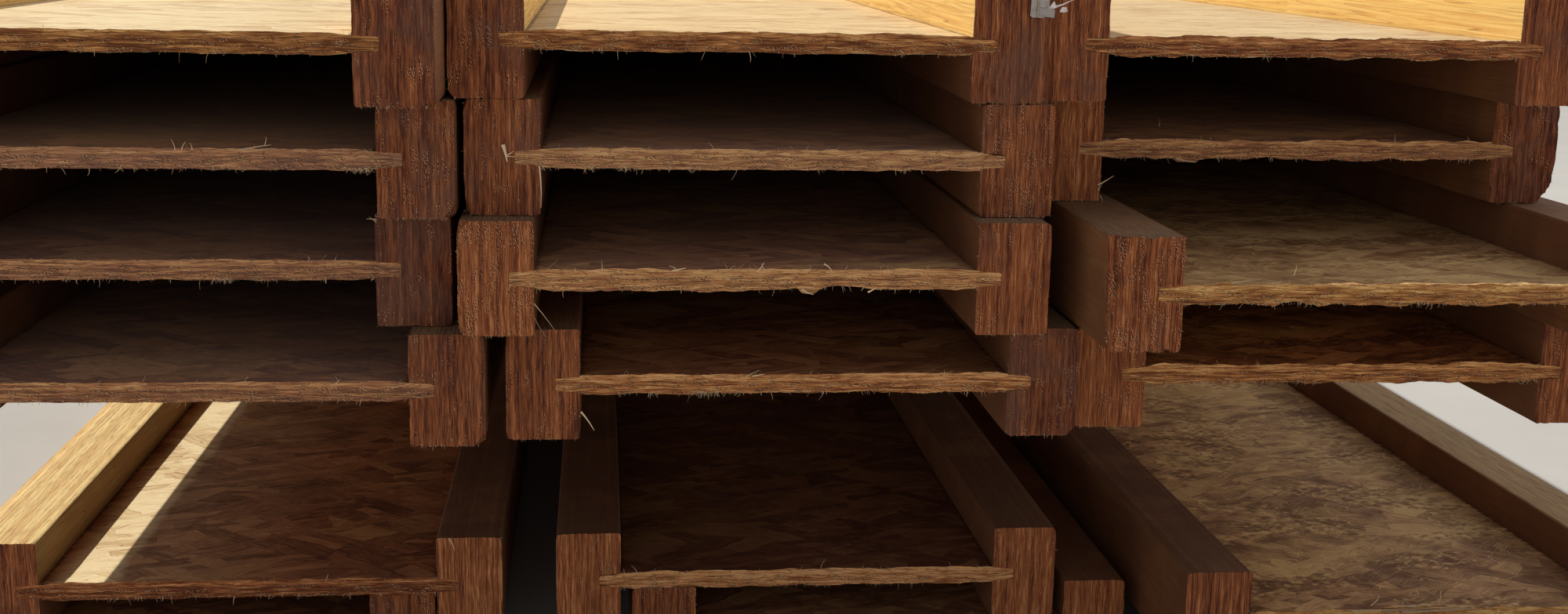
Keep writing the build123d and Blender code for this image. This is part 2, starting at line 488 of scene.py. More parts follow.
class Wires:
    """Short ways to add nodes to one tree. An input is a socket, a number, a vector or a colour."""

    def __init__(self, tree):
        self.tree = tree

    def node(self, kind, inputs=(), **settings):
        """Add a node, give it its settings, and feed its inputs by name or number."""
        made = self.tree.nodes.new(kind)
        for name, value in settings.items():
            setattr(made, name, value)
        for key, value in dict(inputs).items():
            self.feed(made.inputs[key], value)
        return made

    def feed(self, socket, value):
        """Link a socket, or set the plain value of an input."""
        if isinstance(value, bpy.types.NodeSocket):
            self.tree.links.new(value, socket)
        elif isinstance(value, (int, float)):
            socket.default_value = value
        elif len(value) == 3 and len(socket.default_value) == 4:
            socket.default_value = (*value, 1.0)
        else:
            socket.default_value = value

    def step(self, operation, first, second=0.0, third=0.0):
        """One step of arithmetic."""
        inputs = {0: first, 1: second, 2: third}
        return self.node("ShaderNodeMath", inputs, operation=operation).outputs[0]

    times = partialmethod(step, "MULTIPLY")
    times_plus = partialmethod(step, "MULTIPLY_ADD")
    over = partialmethod(step, "DIVIDE")
    plus = partialmethod(step, "ADD")
    minus = partialmethod(step, "SUBTRACT")
    most = partialmethod(step, "MAXIMUM")
    least = partialmethod(step, "MINIMUM")
    size_of = partialmethod(step, "ABSOLUTE")
    whole = partialmethod(step, "FLOOR")
    fraction = partialmethod(step, "FRACT")

    def vector(self, operation, first, second):
        """One step of arithmetic on vectors."""
        return self.node("ShaderNodeVectorMath", {0: first, 1: second}, operation=operation).outputs[0]

    def noise(self, place, size=None, detail=2.0, roughness=0.5, flat=True):
        """Soft noise from 0 to 1 with bumps of a size. Flat noise reads only a place's first two parts."""
        place = place if size is None else self.vector("DIVIDE", place, size)
        inputs = {"Vector": place, "Scale": 1.0, "Detail": detail, "Roughness": roughness}
        dimensions = "2D" if flat else "3D"
        return self.node("ShaderNodeTexNoise", inputs, noise_dimensions=dimensions).outputs["Fac"]

    def cells(self, place):
        """How far a place is from the middle of its cell, in a flat pattern with one cell to a unit."""
        inputs = {"Vector": place, "Scale": 1.0, "Randomness": 1.0}
        return self.node("ShaderNodeTexVoronoi", inputs, voronoi_dimensions="2D").outputs["Distance"]

    def rise(self, value, start, end, low=0.0, high=1.0):
        """A smooth step from low to high while a value goes from start to end."""
        inputs = {"Value": value, "From Min": start, "From Max": end, "To Min": low, "To Max": high}
        return self.node("ShaderNodeMapRange", inputs, interpolation_type="SMOOTHSTEP").outputs["Result"]

    def mix(self, factor, first, second):
        """Two numbers mixed by a factor."""
        return self.node("ShaderNodeMix", {0: factor, 2: first, 3: second}, data_type="FLOAT").outputs[0]

    def blend(self, factor, first, second, kind="MIX"):
        """Two colours mixed by a factor."""
        inputs = {0: factor, 6: first, 7: second}
        return self.node("ShaderNodeMix", inputs, data_type="RGBA", blend_type=kind).outputs[2]

    def marked(self, base, *marks):
        """A colour with marks laid over it in turn: where each one shows, how strongly, and its colour."""
        for where, strength, shade in marks:
            base = self.blend(self.times(where, strength), base, shade)
        return base

    def ramp(self, value, stops):
        """A colour for a value, from places and colours in order."""
        made = self.node("ShaderNodeValToRGB", {0: value})
        elements = made.color_ramp.elements
        while len(elements) < len(stops):
            elements.new(0.5)
        for element, (place, shade) in zip(elements, stops):
            element.position = place
            element.color = (*shade, 1.0)
        return made.outputs["Color"]

    def place(self):
        """The object's own coordinates, in millimetres."""
        coordinates = self.node("ShaderNodeTexCoord")
        return self.vector("MULTIPLY", coordinates.outputs["Object"], (1000, 1000, 1000))

    def parts(self, vector):
        """The three parts of a vector."""
        return self.node("ShaderNodeSeparateXYZ", {0: vector}).outputs

    def join(self, x, y, z=0.0):
        """A vector from its parts."""
        return self.node("ShaderNodeCombineXYZ", {0: x, 1: y, 2: z}).outputs[0]

    def flat_place(self, across, along):
        """Place on a flat surface in millimetres, across its grain and then along it. Both ends differ."""
        parts = self.parts(self.place())
        end = self.times(self.whole(self.over(parts["Y"], STRETCH)), STRETCH_SHIFT)
        where = {"X": parts["X"], "Y": parts["Y"], "Z": self.plus(parts["Z"], end)}
        return where[across], where[along]

    def lot(self, place):
        """Three numbers drawn by lot for each whole place."""
        drawn = self.node("ShaderNodeTexWhiteNoise", {"Vector": place}, noise_dimensions="2D")
        return self.node("ShaderNodeSeparateColor", {0: drawn.outputs["Color"]}).outputs

    def own(self, name):
        """A number that the piece carries."""
        return self.node("ShaderNodeAttribute", attribute_name=name).outputs["Fac"]

    def group(self, name, **inputs):
        """One of the shared groups, with its inputs by name. An underscore in a name stands for a space."""
        made = self.node("ShaderNodeGroup", node_tree=bpy.data.node_groups[name])
        for key, value in inputs.items():
            self.feed(made.inputs[key.replace("_", " ").capitalize()], value)
        return made.outputs


def new_group(name, inputs, outputs):
    """An empty shader node group with named inputs and outputs: its wires, its inputs and its output node."""
    tree = bpy.data.node_groups.new(name, "ShaderNodeTree")
    for label, (kind, default) in inputs.items():
        socket = tree.interface.new_socket(label, in_out="INPUT", socket_type=kind)
        if default is not None:
            socket.default_value = default
    for label, kind in outputs.items():
        tree.interface.new_socket(label, in_out="OUTPUT", socket_type=kind)
    wires = Wires(tree)
    return wires, wires.node("NodeGroupInput").outputs, wires.node("NodeGroupOutput").inputs


NUMBER = "NodeSocketFloat"
VECTOR = "NodeSocketVector"


def make_streaks_group():
    """Streaks of wood grain: broad ones and fine ones, drawn out to the size that is given."""
    w, given, out = new_group(
        "Streaks",
        {"Place": (VECTOR, None), "Size": (VECTOR, (1.0, 1.0, 1.0))},
        {"Broad": NUMBER, "Fine": NUMBER},
    )
    place = w.vector("DIVIDE", given["Place"], given["Size"])
    w.feed(out["Broad"], w.noise(place, detail=3.0, roughness=0.6))
    w.feed(out["Fine"], w.noise(w.vector("MULTIPLY", place, (3.7, 3.1, 1.0)), detail=1.0, roughness=0.6))


def make_plies_group():
    """Plies side by side: each ply's shade, the line of resin, and the place across after the plies' sway."""
    w, given, out = new_group(
        "Plies",
        {
            "Across": (NUMBER, None),
            "Along": (NUMBER, None),
            "Ply": (NUMBER, 3.175),
            "Wave": (NUMBER, 24.0),
            "Sway": (NUMBER, 1.1),
            "Row": (NUMBER, 0.0),
        },
        {"Shade": NUMBER, "Resin": NUMBER, "Bent": NUMBER},
    )
    wave = w.join(w.over(given["Across"], 34.0), w.over(given["Along"], given["Wave"]))
    bend = w.minus(w.noise(wave, detail=3.0, roughness=0.6), 0.5)
    bent = w.times_plus(bend, w.times(given["Sway"], 2.0), given["Across"])
    plies = w.over(bent, given["Ply"])
    number = w.join(w.whole(plies), given["Row"])
    shade = w.node("ShaderNodeTexWhiteNoise", {"Vector": number}, noise_dimensions="2D")
    depth = w.fraction(plies)
    from_line = w.least(depth, w.minus(1.0, depth))
    w.feed(out["Shade"], shade.outputs["Value"])
    w.feed(out["Resin"], w.rise(from_line, 0.02, 0.1, 1.0, 0.0))
    w.feed(out["Bent"], bent)


def make_pits_group():
    """Small torn pits, and a bright fleck of fibre beside each."""
    w, given, out = new_group(
        "Pits",
        {"Place": (VECTOR, None), "Size": (VECTOR, (1.0, 1.0, 1.0)), "Amount": (NUMBER, 0.5)},
        {"Pit": NUMBER, "Fleck": NUMBER},
    )
    place = w.vector("DIVIDE", given["Place"], given["Size"])
    pit = w.cells(place)
    fleck = w.cells(w.vector("ADD", place, (0.62, 0.2, 0.0)))
    reach = w.times(given["Amount"], 0.42)
    w.feed(out["Pit"], w.rise(w.minus(reach, pit), 0.0, 0.16))
    w.feed(out["Fleck"], w.rise(w.minus(w.times(reach, 0.86), fleck), 0.0, 0.14))


def make_strands_group():
    """One layer of blunt strands laid at an angle: each strand's shade and lot, its rim, grain and height."""
    w, given, out = new_group(
        "Strands",
        {
            "Place": (VECTOR, None),
            "Angle": (NUMBER, 0.0),
            "Length": (NUMBER, 95.0),
            "Width": (NUMBER, 17.0),
            "Seed": (NUMBER, 0.0),
        },
        {"Shade": NUMBER, "Lot": NUMBER, "Rim": NUMBER, "Grain": NUMBER, "Height": NUMBER},
    )
    turned = w.node(
        "ShaderNodeVectorRotate", {"Vector": given["Place"], "Angle": given["Angle"]}, rotation_type="Z_AXIS"
    ).outputs[0]
    parts = w.parts(turned)
    bow = w.minus(w.noise(turned, (90.0, 30.0, 1.0), detail=3.0, roughness=0.62), 0.5)
    rows = w.over(w.times_plus(bow, 20.0, parts["Y"]), given["Width"])
    row = w.plus(w.whole(rows), given["Seed"])
    shift = w.lot(w.join(row, 0.5))
    columns = w.plus(w.over(parts["X"], given["Length"]), w.times(shift[0], 9.0))
    slant = w.times(w.fraction(rows), w.minus(shift[1], 0.5))
    columns = w.times_plus(slant, 0.5, columns)
    lots = w.lot(w.join(row, w.whole(columns)))
    beside = w.times(w.step("PINGPONG", rows, 0.5), given["Width"])
    before = w.times(w.step("PINGPONG", columns, 0.5), given["Length"])
    grain_place = w.join(w.times_plus(bow, 20.0, parts["Y"]), w.over(parts["X"], 26.0))
    grain = w.noise(w.vector("ADD", grain_place, w.join(row, lots[2])), detail=2.0, roughness=0.6)
    w.feed(out["Shade"], lots[0])
    w.feed(out["Lot"], lots[1])
    w.feed(out["Rim"], w.rise(w.least(beside, before), 0.0, 0.9, 1.0, 0.0))
    w.feed(out["Grain"], grain)
    w.feed(out["Height"], w.times_plus(w.fraction(rows), 0.35, w.times(lots[1], 0.3)))


def make_dirt_group():
    """Soft patches of dirt and weathering."""
    w, given, out = new_group(
        "Dirt",
        {"Place": (VECTOR, None), "Size": (NUMBER, 30.0), "Amount": (NUMBER, 0.5)},
        {"Dirt": NUMBER},
    )
    size = w.join(given["Size"], given["Size"], given["Size"])
    patches = w.noise(given["Place"], size, detail=3.0, roughness=0.62, flat=False)
    start = w.minus(0.75, w.times(given["Amount"], 0.5))
    w.feed(out["Dirt"], w.rise(patches, start, w.plus(start, 0.3)))


SPECULAR = 0.25
# Colours of small marks on the finishes.
END_CRACK = linear(56, 24, 16)
END_FLECK = linear(234, 172, 128)
END_PIT = linear(50, 20, 12)
EDGE_DASH = linear(150, 98, 52)
EDGE_RESIN = linear(128, 80, 44)
EDGE_DIRT = linear(88, 54, 42)
WEATHERED_DASH = linear(92, 66, 54)
GROWTH_LINE = linear(150, 92, 44)
FACE_STREAK = linear(150, 96, 52)
FACE_PORE = linear(130, 78, 44)
FACE_DIRT = linear(100, 58, 44)
WEB_END_DUST = linear(168, 136, 118)
STRAND_GAP = linear(84, 46, 26)
WEB_END_FLECK = linear(246, 204, 148)
WEB_END_PIT = linear(84, 42, 22)
# Next two: pale flecks with a painted highlight along raised flakes, then cracks with a painted shadow beside
# them.
FLAKE_HIGHLIGHT_AND_FLECK = linear(240, 204, 146)
FLAKE_SHADOW = linear(76, 44, 30)
WEB_DIRT = linear(112, 80, 62)
# The next three colours belong to the painted sunlight on the webs' faces: its cracks and its two tints.
SUNLIT_CRACK = linear(146, 104, 60)
PALE_PLAIN = linear(255, 252, 246)
PALE_REDDISH = linear(255, 226, 186)
# A dark line where a web meets its flange: the joint, with painted shade in the corner.
JOINT_AND_CORNER_SHADE = linear(70, 42, 28)
TIMBER_STREAK = linear(120, 78, 44)
TIMBER_DIRT = linear(130, 100, 72)
TAG_DUST = linear(122, 108, 100)
STAPLE_SCUFF = linear(112, 98, 76)
ROUND_LIGHT = linear(226, 234, 250)


def new_material(name):
    """A material with its Principled shader: its wires and the shader's inputs."""
    material = bpy.data.materials.new(name)
    material.use_nodes = True
    wires = Wires(material.node_tree)
    shader = material.node_tree.nodes["Principled BSDF"].inputs
    shader["Specular IOR Level"].default_value = SPECULAR
    return material, wires, shader


def finish(wires, shader, base, roughness, height, depth, strength):
    """Feed a shader its colour, its roughness and a relief of some depth."""
    wires.feed(shader["Base Color"], base)
    wires.feed(shader["Roughness"], roughness)
    relief = {"Height": height, "Distance": depth * MM, "Strength": strength}
    wires.feed(shader["Normal"], wires.node("ShaderNodeBump", relief).outputs[0])


def end_stops(settings, *places):
    """Stops for a sawn end's ramp: its four colours, from dark to light, at four places."""
    return list(zip(places, (settings.end_dark, settings.end_mid, settings.end_warm, settings.end_light)))


def flange_end_material(settings):
    """Sawn end of laminated veneer: fine upright lines, columns of torn pits with flecks, a film of dust."""
    material, w, shader = new_material("flange sawn end")
    x, z = w.flat_place("X", "Z")
    plies = w.group("Plies", across=x, along=z, ply=settings.ply / MM, wave=30.0, sway=0.9, row=w.own("lot"))
    grain = w.join(plies["Bent"], z)
    streaks = w.group("Streaks", place=grain, size=(2.2, 60.0, 1.0))
    lines = w.noise(grain, (0.62, 11.0, 1.0), detail=2.0, roughness=0.6)
    columns = w.noise(grain, (1.3, 20.0, 1.0), detail=1.0)
    torn = w.rise(w.times_plus(plies["Shade"], 0.1, columns), 0.52, 0.64, 0.25, 1.0)
    fields = w.noise(grain, (9.0, 16.0, 1.0), detail=2.0)
    torn = w.times(torn, w.rise(w.plus(fields, w.own("flecked")), 0.5, 0.7, 0.35, 1.0))
    pits = w.group("Pits", place=grain, size=(0.62, 1.6, 1.0), amount=torn)
    crack = w.size_of(w.minus(streaks["Fine"], 0.5))
    crack = w.times(w.rise(crack, 0.004, 0.022, 1.0, 0.0), w.rise(columns, 0.5, 0.38))
    film = w.group("Dirt", place=w.place(), size=34.0, amount=w.minus(1.05, w.own("tone")))
    shade = w.times_plus(streaks["Broad"], 0.56, w.times(lines, 0.52))
    shade = w.times_plus(plies["Shade"], 0.1, w.minus(shade, 0.21))
    shade = w.times_plus(w.own("tone"), 0.24, shade)
    base = w.ramp(shade, end_stops(settings, 0.34, 0.5, 0.62, 0.78))
    glued = w.most(w.rise(plies["Shade"], 0.6, 0.7, 0.0, 0.3), w.own("glued"))
    base = w.marked(
        base,
        (film["Dirt"], 0.62, settings.end_film),
        (plies["Resin"], glued, settings.glue),
        (crack, 0.6, END_CRACK),
        (pits["Fleck"], 0.78, END_FLECK),
        (pits["Pit"], 0.8, END_PIT),
    )
    height = w.minus(lines, w.times_plus(pits["Pit"], 0.6, w.times(crack, 0.6)))
    finish(w, shader, base, w.rise(lines, 0.2, 0.8, 0.95, 0.8), height, 0.4, 0.8)
    return material


def flange_edge_material(settings):
    """Long edges of the plies: pale and dark lines along the flange, broken and slightly wavy."""
    material, w, shader = new_material("flange ply edges")
    x, y = w.flat_place("X", "Y")
    plies = w.group("Plies", across=x, along=y, ply=settings.ply / MM, wave=150.0, sway=0.9, row=w.own("lot"))
    grain = w.join(plies["Bent"], y)
    streaks = w.group("Streaks", place=grain, size=(1.1, 90.0, 1.0))
    dashes = w.noise(grain, (0.6, 22.0, 1.0), detail=2.0, roughness=0.6)
    dirt = w.group("Dirt", place=w.place(), size=60.0, amount=w.minus(1.0, w.own("sun_paint")))
    shade = w.times_plus(plies["Shade"], 0.3, w.times(streaks["Broad"], 0.8))
    base = w.ramp(shade, [(0.3, settings.edge_dark), (0.72, settings.edge_light)])
    base = w.blend(w.rise(dashes, 0.54, 0.68, 0.0, 0.62), base, EDGE_DASH)
    base = w.blend(w.times(plies["Resin"], w.rise(dashes, 0.35, 0.6, 0.1, 0.55)), base, EDGE_RESIN)
    # Painted shade: edges that lie in shade take the darker colour, with dirt and weathering laid on it. The
    # pale edges show only where painted sunlight is set.
    worn = w.blend(w.rise(dashes, 0.4, 0.65, 0.86, 0.74), base, settings.worn)
    worn = w.blend(w.times(dirt["Dirt"], 0.5), worn, EDGE_DIRT)
    from_front = w.minus(w.parts(w.place())["Y"], w.own("front"))
    near = w.rise(w.times_plus(streaks["Broad"], 40.0, from_front), 20.0, 90.0, 0.75, 0.0)
    near = w.most(w.times(near, w.own("exposed")), w.own("weathered"))
    worn = w.blend(near, worn, w.blend(w.rise(dashes, 0.4, 0.65), settings.weathered, WEATHERED_DASH))
    base = w.blend(w.own("sun_paint"), worn, base)
    roughness = w.rise(streaks["Fine"], 0.2, 0.8, 0.7, 0.9)
    finish(w, shader, base, roughness, w.minus(streaks["Fine"], dashes), 0.25, 0.6)
    return material


def flange_face_material(settings):
    """Outer veneer: faint peeled grain in long flames, with fine lines and small checks."""
    material, w, shader = new_material("flange veneer face")
    z, y = w.flat_place("Z", "Y")
    grain = w.join(z, y)
    streaks = w.group("Streaks", place=grain, size=(2.2, 150.0, 1.0))
    flames = w.noise(grain, (15.0, 420.0, 1.0), detail=2.0, roughness=0.5)
    rings = w.fraction(w.times(flames, 9.0))
    late = w.times(w.rise(rings, 0.35, 0.9), w.rise(rings, 1.0, 0.92))
    pores = w.group("Pits", place=grain, size=(0.9, 7.0, 1.0), amount=0.34)
    dirt = w.group("Dirt", place=w.place(), size=70.0, amount=w.minus(1.0, w.own("side_sun_paint")))
    shade = w.times_plus(late, 0.28, w.times(streaks["Broad"], 0.7))
    base = w.ramp(shade, [(0.2, settings.face_light), (0.85, settings.face_dark)])
    base = w.blend(w.rise(rings, 0.955, 0.98, 0.0, 0.6), base, GROWTH_LINE)
    base = w.blend(w.rise(streaks["Fine"], 0.62, 0.72, 0.0, 0.4), base, FACE_STREAK)
    base = w.blend(w.times(pores["Pit"], 0.45), base, FACE_PORE)
    # Painted shade: sides that lie in shade take the darker colour, with dirt laid on it. The pale veneer
    # shows only where painted sunlight is set.
    worn = w.blend(0.86, base, settings.worn)
    worn = w.blend(w.times(dirt["Dirt"], 0.5), worn, FACE_DIRT)
    base = w.blend(w.own("side_sun_paint"), worn, base)
    finish(w, shader, base, w.rise(streaks["Fine"], 0.2, 0.8, 0.6, 0.82), streaks["Fine"], 0.12, 0.5)
    return material


def web_end_material(settings):
    """Sawn end of strand board: long pale strands on top, torn and speckled ones below them."""
    material, w, shader = new_material("web sawn end")
    x, z = w.flat_place("X", "Z")
    lift = w.minus(w.noise(w.join(x, z), (30.0, 8.0, 1.0), detail=3.0, roughness=0.6), 0.5)
    bent = w.times_plus(lift, 3.2, z)
    grain = w.join(bent, x)
    upper = w.rise(w.own("layer"), 0.58, 0.8)
    streaks = w.group("Streaks", place=grain, size=(0.62, 13.0, 1.0))
    patches = w.noise(grain, (1.5, 30.0, 1.0), detail=2.0, roughness=0.5)
    gaps = w.size_of(w.minus(w.noise(grain, (1.5, 12.0, 1.0), detail=1.0), 0.5))
    gap = w.rise(gaps, 0.004, 0.026, 1.0, 0.0)
    torn = w.rise(w.noise(w.join(z, x), (2.4, 9.0, 1.0), detail=2.0), 0.44, 0.66, 0.1, 1.0)
    torn = w.times(torn, w.times_plus(upper, -0.6, 1.0))
    pits = w.group("Pits", place=grain, size=(0.5, 1.9, 1.0), amount=torn)
    shade = w.times_plus(patches, 0.75, w.times(streaks["Broad"], 0.7))
    shade = w.times_plus(w.own("tone"), 0.3, w.minus(shade, 0.39))
    shade = w.times_plus(upper, 0.12, shade)
    base = w.ramp(shade, end_stops(settings, 0.32, 0.48, 0.6, 0.78))
    base = w.blend(1.0, base, w.blend(w.own("red"), settings.gold, settings.red), "MULTIPLY")
    base = w.marked(
        base,
        (w.own("dull"), 0.35, WEB_END_DUST),
        (gap, 0.45, STRAND_GAP),
        (pits["Fleck"], 0.6, WEB_END_FLECK),
        (pits["Pit"], 0.75, WEB_END_PIT),
    )
    height = w.minus(streaks["Broad"], w.times_plus(pits["Pit"], 0.5, gap))
    finish(w, shader, base, w.rise(streaks["Fine"], 0.2, 0.8, 0.78, 0.95), height, 0.4, 0.8)
    return material


def web_face_material(settings):
    """Pressed face of strand board: layers of strands that lie mostly across the web, with painted sunlight
    on some webs.
    """
    material, w, shader = new_material("web strand face")
    x, y = w.flat_place("X", "Y")
    place = w.join(x, y)
    shade = height = None
    layers = ((0.1, 0.0, 3.0, 1.9), (-0.75, 0.4, 11.3, 1.4), (0.7, 0.6, 23.9, 0.95), (-0.35, 0.7, 37.1, 0.6))
    for angle, least, seed, size in layers:
        strands = w.group(
            "Strands",
            place=place,
            angle=angle,
            length=size * settings.strand_length / MM,
            width=size * settings.strand_width / MM,
            seed=seed,
        )
        own = w.times_plus(strands["Shade"], settings.variety, w.times(strands["Grain"], 0.63))
        # Painted shade: each strand is a little darker along its borders.
        own = w.times_plus(strands["Rim"], -0.1, own)
        shown = w.step("GREATER_THAN", strands["Lot"], least)
        shade = own if shade is None else w.mix(shown, shade, own)
        height = strands["Height"] if height is None else w.mix(shown, height, strands["Height"])
    cracks = w.noise(w.join(w.over(x, 8.0), w.over(y, 5.5)), detail=2.0, roughness=0.6)
    clumps = w.noise(place, (90.0, 44.0, 1.0), detail=3.0)
    rough = w.own("rough")
    crack = w.times(w.rise(cracks, 0.57, 0.66), w.rise(clumps, 0.46, 0.6, 0.0, rough))
    flecks = w.times(w.rise(cracks, 0.43, 0.35), w.rise(clumps, 0.5, 0.62, 0.0, rough))
    many = w.rise(clumps, 0.42, 0.62, 0.0, w.times(rough, 0.66))
    chips = w.group("Pits", place=w.join(y, x), size=(10.0, 12.0, 1.0), amount=many)
    # Painted highlight and painted shadow: a pale line along one side of each raised flake's edge and a dark
    # line along the other, laid with the flecks and cracks.
    edges = w.noise(place, (30.0, 24.0, 1.0), detail=2.0, roughness=0.45)
    ridge = w.minus(edges, 0.5)
    parted = w.rise(w.noise(place, (34.0, 46.0, 1.0), detail=1.0), 0.5, 0.62, 0.0, rough)
    bright = w.times(w.times(w.rise(ridge, 0.0, 0.004), w.rise(ridge, 0.05, 0.01)), parted)
    shadow = w.times(w.times(w.rise(ridge, -0.016, -0.008), w.rise(ridge, 0.0, -0.004)), parted)
    flecks = w.most(w.most(flecks, chips["Fleck"]), bright)
    crack = w.most(w.most(crack, chips["Pit"]), shadow)
    # A broken dark line along the web where it meets each flange: the joint, with painted shade in the
    # corner.
    from_middle = w.size_of(w.minus(x, w.own("middle")))
    ticks = w.noise(w.join(w.over(y, 2.6), w.over(x, 9.0)), detail=2.0, roughness=0.7)
    joint_and_shade = w.rise(w.times_plus(ticks, 5.0, from_middle), 112.6, 114.2)
    dirt = w.group("Dirt", place=w.place(), size=90.0, amount=w.minus(0.9, w.own("tone")))
    blotches = w.noise(place, (26.0, 30.0, 1.0), detail=4.0, roughness=0.62)
    wide = w.noise(place, (160.0, 80.0, 1.0), detail=2.0)
    uneven = w.times_plus(wide, 1.1, w.times_plus(blotches, 1.5, -1.3))
    shade = w.times_plus(uneven, w.times(rough, 0.42), shade)
    base = w.ramp(shade, [(0.24, settings.face_dark), (0.46, settings.face_mid), (0.72, settings.face_light)])
    base = w.marked(
        base,
        (flecks, 0.6, FLAKE_HIGHLIGHT_AND_FLECK),
        (crack, 0.55, FLAKE_SHADOW),
        (dirt["Dirt"], 0.4, WEB_DIRT),
    )
    hue = w.times_plus(w.minus(wide, 0.5), -2.6, w.own("red"))
    base = w.blend(1.0, base, w.blend(hue, settings.gold, settings.red), "MULTIPLY")
    # Painted shade: on webs in the stack's hollows, the faces turn greyer further back from the front end.
    from_front = w.minus(y, w.own("front"))
    dull = w.times(w.own("dull"), w.rise(from_front, 0.0, 120.0, 0.5, 0.85))
    base = w.blend(dull, base, settings.dull)
    # Painted shade: webs that lie deep in the stack are darker.
    base = w.blend(w.own("deep"), base, settings.painted_deep_shade)
    # Painted sunlight: a paler copy of the strands' colours, with its own lines, cracks, grey and tint.
    pale = w.ramp(shade, [(0.2, settings.sunlit_dark), (0.36, settings.sunlit_mid), (0.58, settings.sunlit_light)])
    lines = w.noise(w.join(w.over(x, 34.0), w.over(y, 0.9)), detail=2.0, roughness=0.7)
    pale = w.blend(w.rise(lines, 0.55, 0.7, 0.0, 0.45), pale, settings.sunlit_dark)
    pale = w.blend(w.times(crack, 0.5), pale, SUNLIT_CRACK)
    pale = w.blend(w.times(w.own("pale_grey"), w.rise(lines, 0.3, 0.6, 1.0, 0.75)), pale, settings.old)
    pale = w.blend(1.0, pale, w.blend(w.own("pale_red"), PALE_PLAIN, PALE_REDDISH), "MULTIPLY")
    # Where the painted sunlight lies: between two places across, in millimetres, with a faint fringe beyond
    # one edge.
    across = w.times_plus(clumps, 12.0, w.parts(w.place())["X"])
    beyond = w.minus(across, w.own("sunlit_to"))
    painted_sunlight = w.most(w.rise(beyond, 0.0, 9.0, 1.0, 0.0), w.rise(beyond, 10.0, 120.0, 0.2, 0.0))
    painted_sunlight = w.times(painted_sunlight, w.rise(w.minus(across, w.own("sunlit_from")), -12.0, 4.0))
    broken = w.rise(ticks, 0.4, 0.6, 0.3, 0.85)
    base = w.marked(base, (painted_sunlight, w.own("sunlit_strength"), pale), (joint_and_shade, broken, JOINT_AND_CORNER_SHADE))
    relief = w.times_plus(w.times(blotches, rough), 2.4, height)
    finish(w, shader, base, w.rise(cracks, 0.2, 0.8, 0.62, 0.85), relief, 0.7, 0.9)
    return material


def spacer_material(settings):
    """Sawn softwood: grain along the timber, growth rings on its ends, and a few dark checks."""
    material, w, shader = new_material("spacer timber")
    place = w.place()
    parts = w.parts(place)
    centre = w.join(w.times(parts["X"], 0.02), w.plus(parts["Y"], 30.0), w.plus(parts["Z"], 60.0))
    warp = w.noise(place, (260.0, 40.0, 40.0), detail=3.0, flat=False)
    from_pith = w.node("ShaderNodeVectorMath", {0: centre}, operation="LENGTH").outputs["Value"]
    rings = w.fraction(w.over(w.times_plus(warp, 26.0, from_pith), settings.ring / MM))
    late = w.times(w.rise(rings, 0.3, 0.85), w.rise(rings, 1.0, 0.93))
    across = w.times_plus(parts["Z"], 0.8, parts["Y"])
    streaks = w.group("Streaks", place=w.join(across, parts["X"]), size=(1.2, 60.0, 1.0))
    dirt = w.group("Dirt", place=place, size=60.0, amount=0.45)
    base = w.ramp(
        w.plus(w.times(late, 0.7), w.times(streaks["Broad"], 0.4)),
        [(0.15, settings.light), (0.95, settings.dark)],
    )
    base = w.blend(w.rise(streaks["Fine"], 0.62, 0.75, 0.0, 0.4), base, TIMBER_STREAK)
    base = w.blend(w.times(dirt["Dirt"], 0.5), base, TIMBER_DIRT)
    roughness = w.rise(streaks["Fine"], 0.2, 0.8, 0.7, 0.9)
    finish(w, shader, base, roughness, w.plus(streaks["Fine"], late), 0.3, 0.6)
    return material


def fibre_material(settings):
    """Torn fibres: each one's own tone, with soft streaks."""
    material, w, shader = new_material("torn fibre")
    streaks = w.group("Streaks", place=w.place(), size=(0.5, 0.5, 0.5))
    shade = w.plus(w.own("tone"), w.times(w.minus(streaks["Broad"], 0.5), 0.5))
    base = w.ramp(shade, [(0.0, settings.dark), (1.0, settings.light)])
    roughness = w.rise(streaks["Fine"], 0.2, 0.8, 0.7, 0.9)
    finish(w, shader, base, roughness, streaks["Fine"], 0.05, 0.5)
    return material


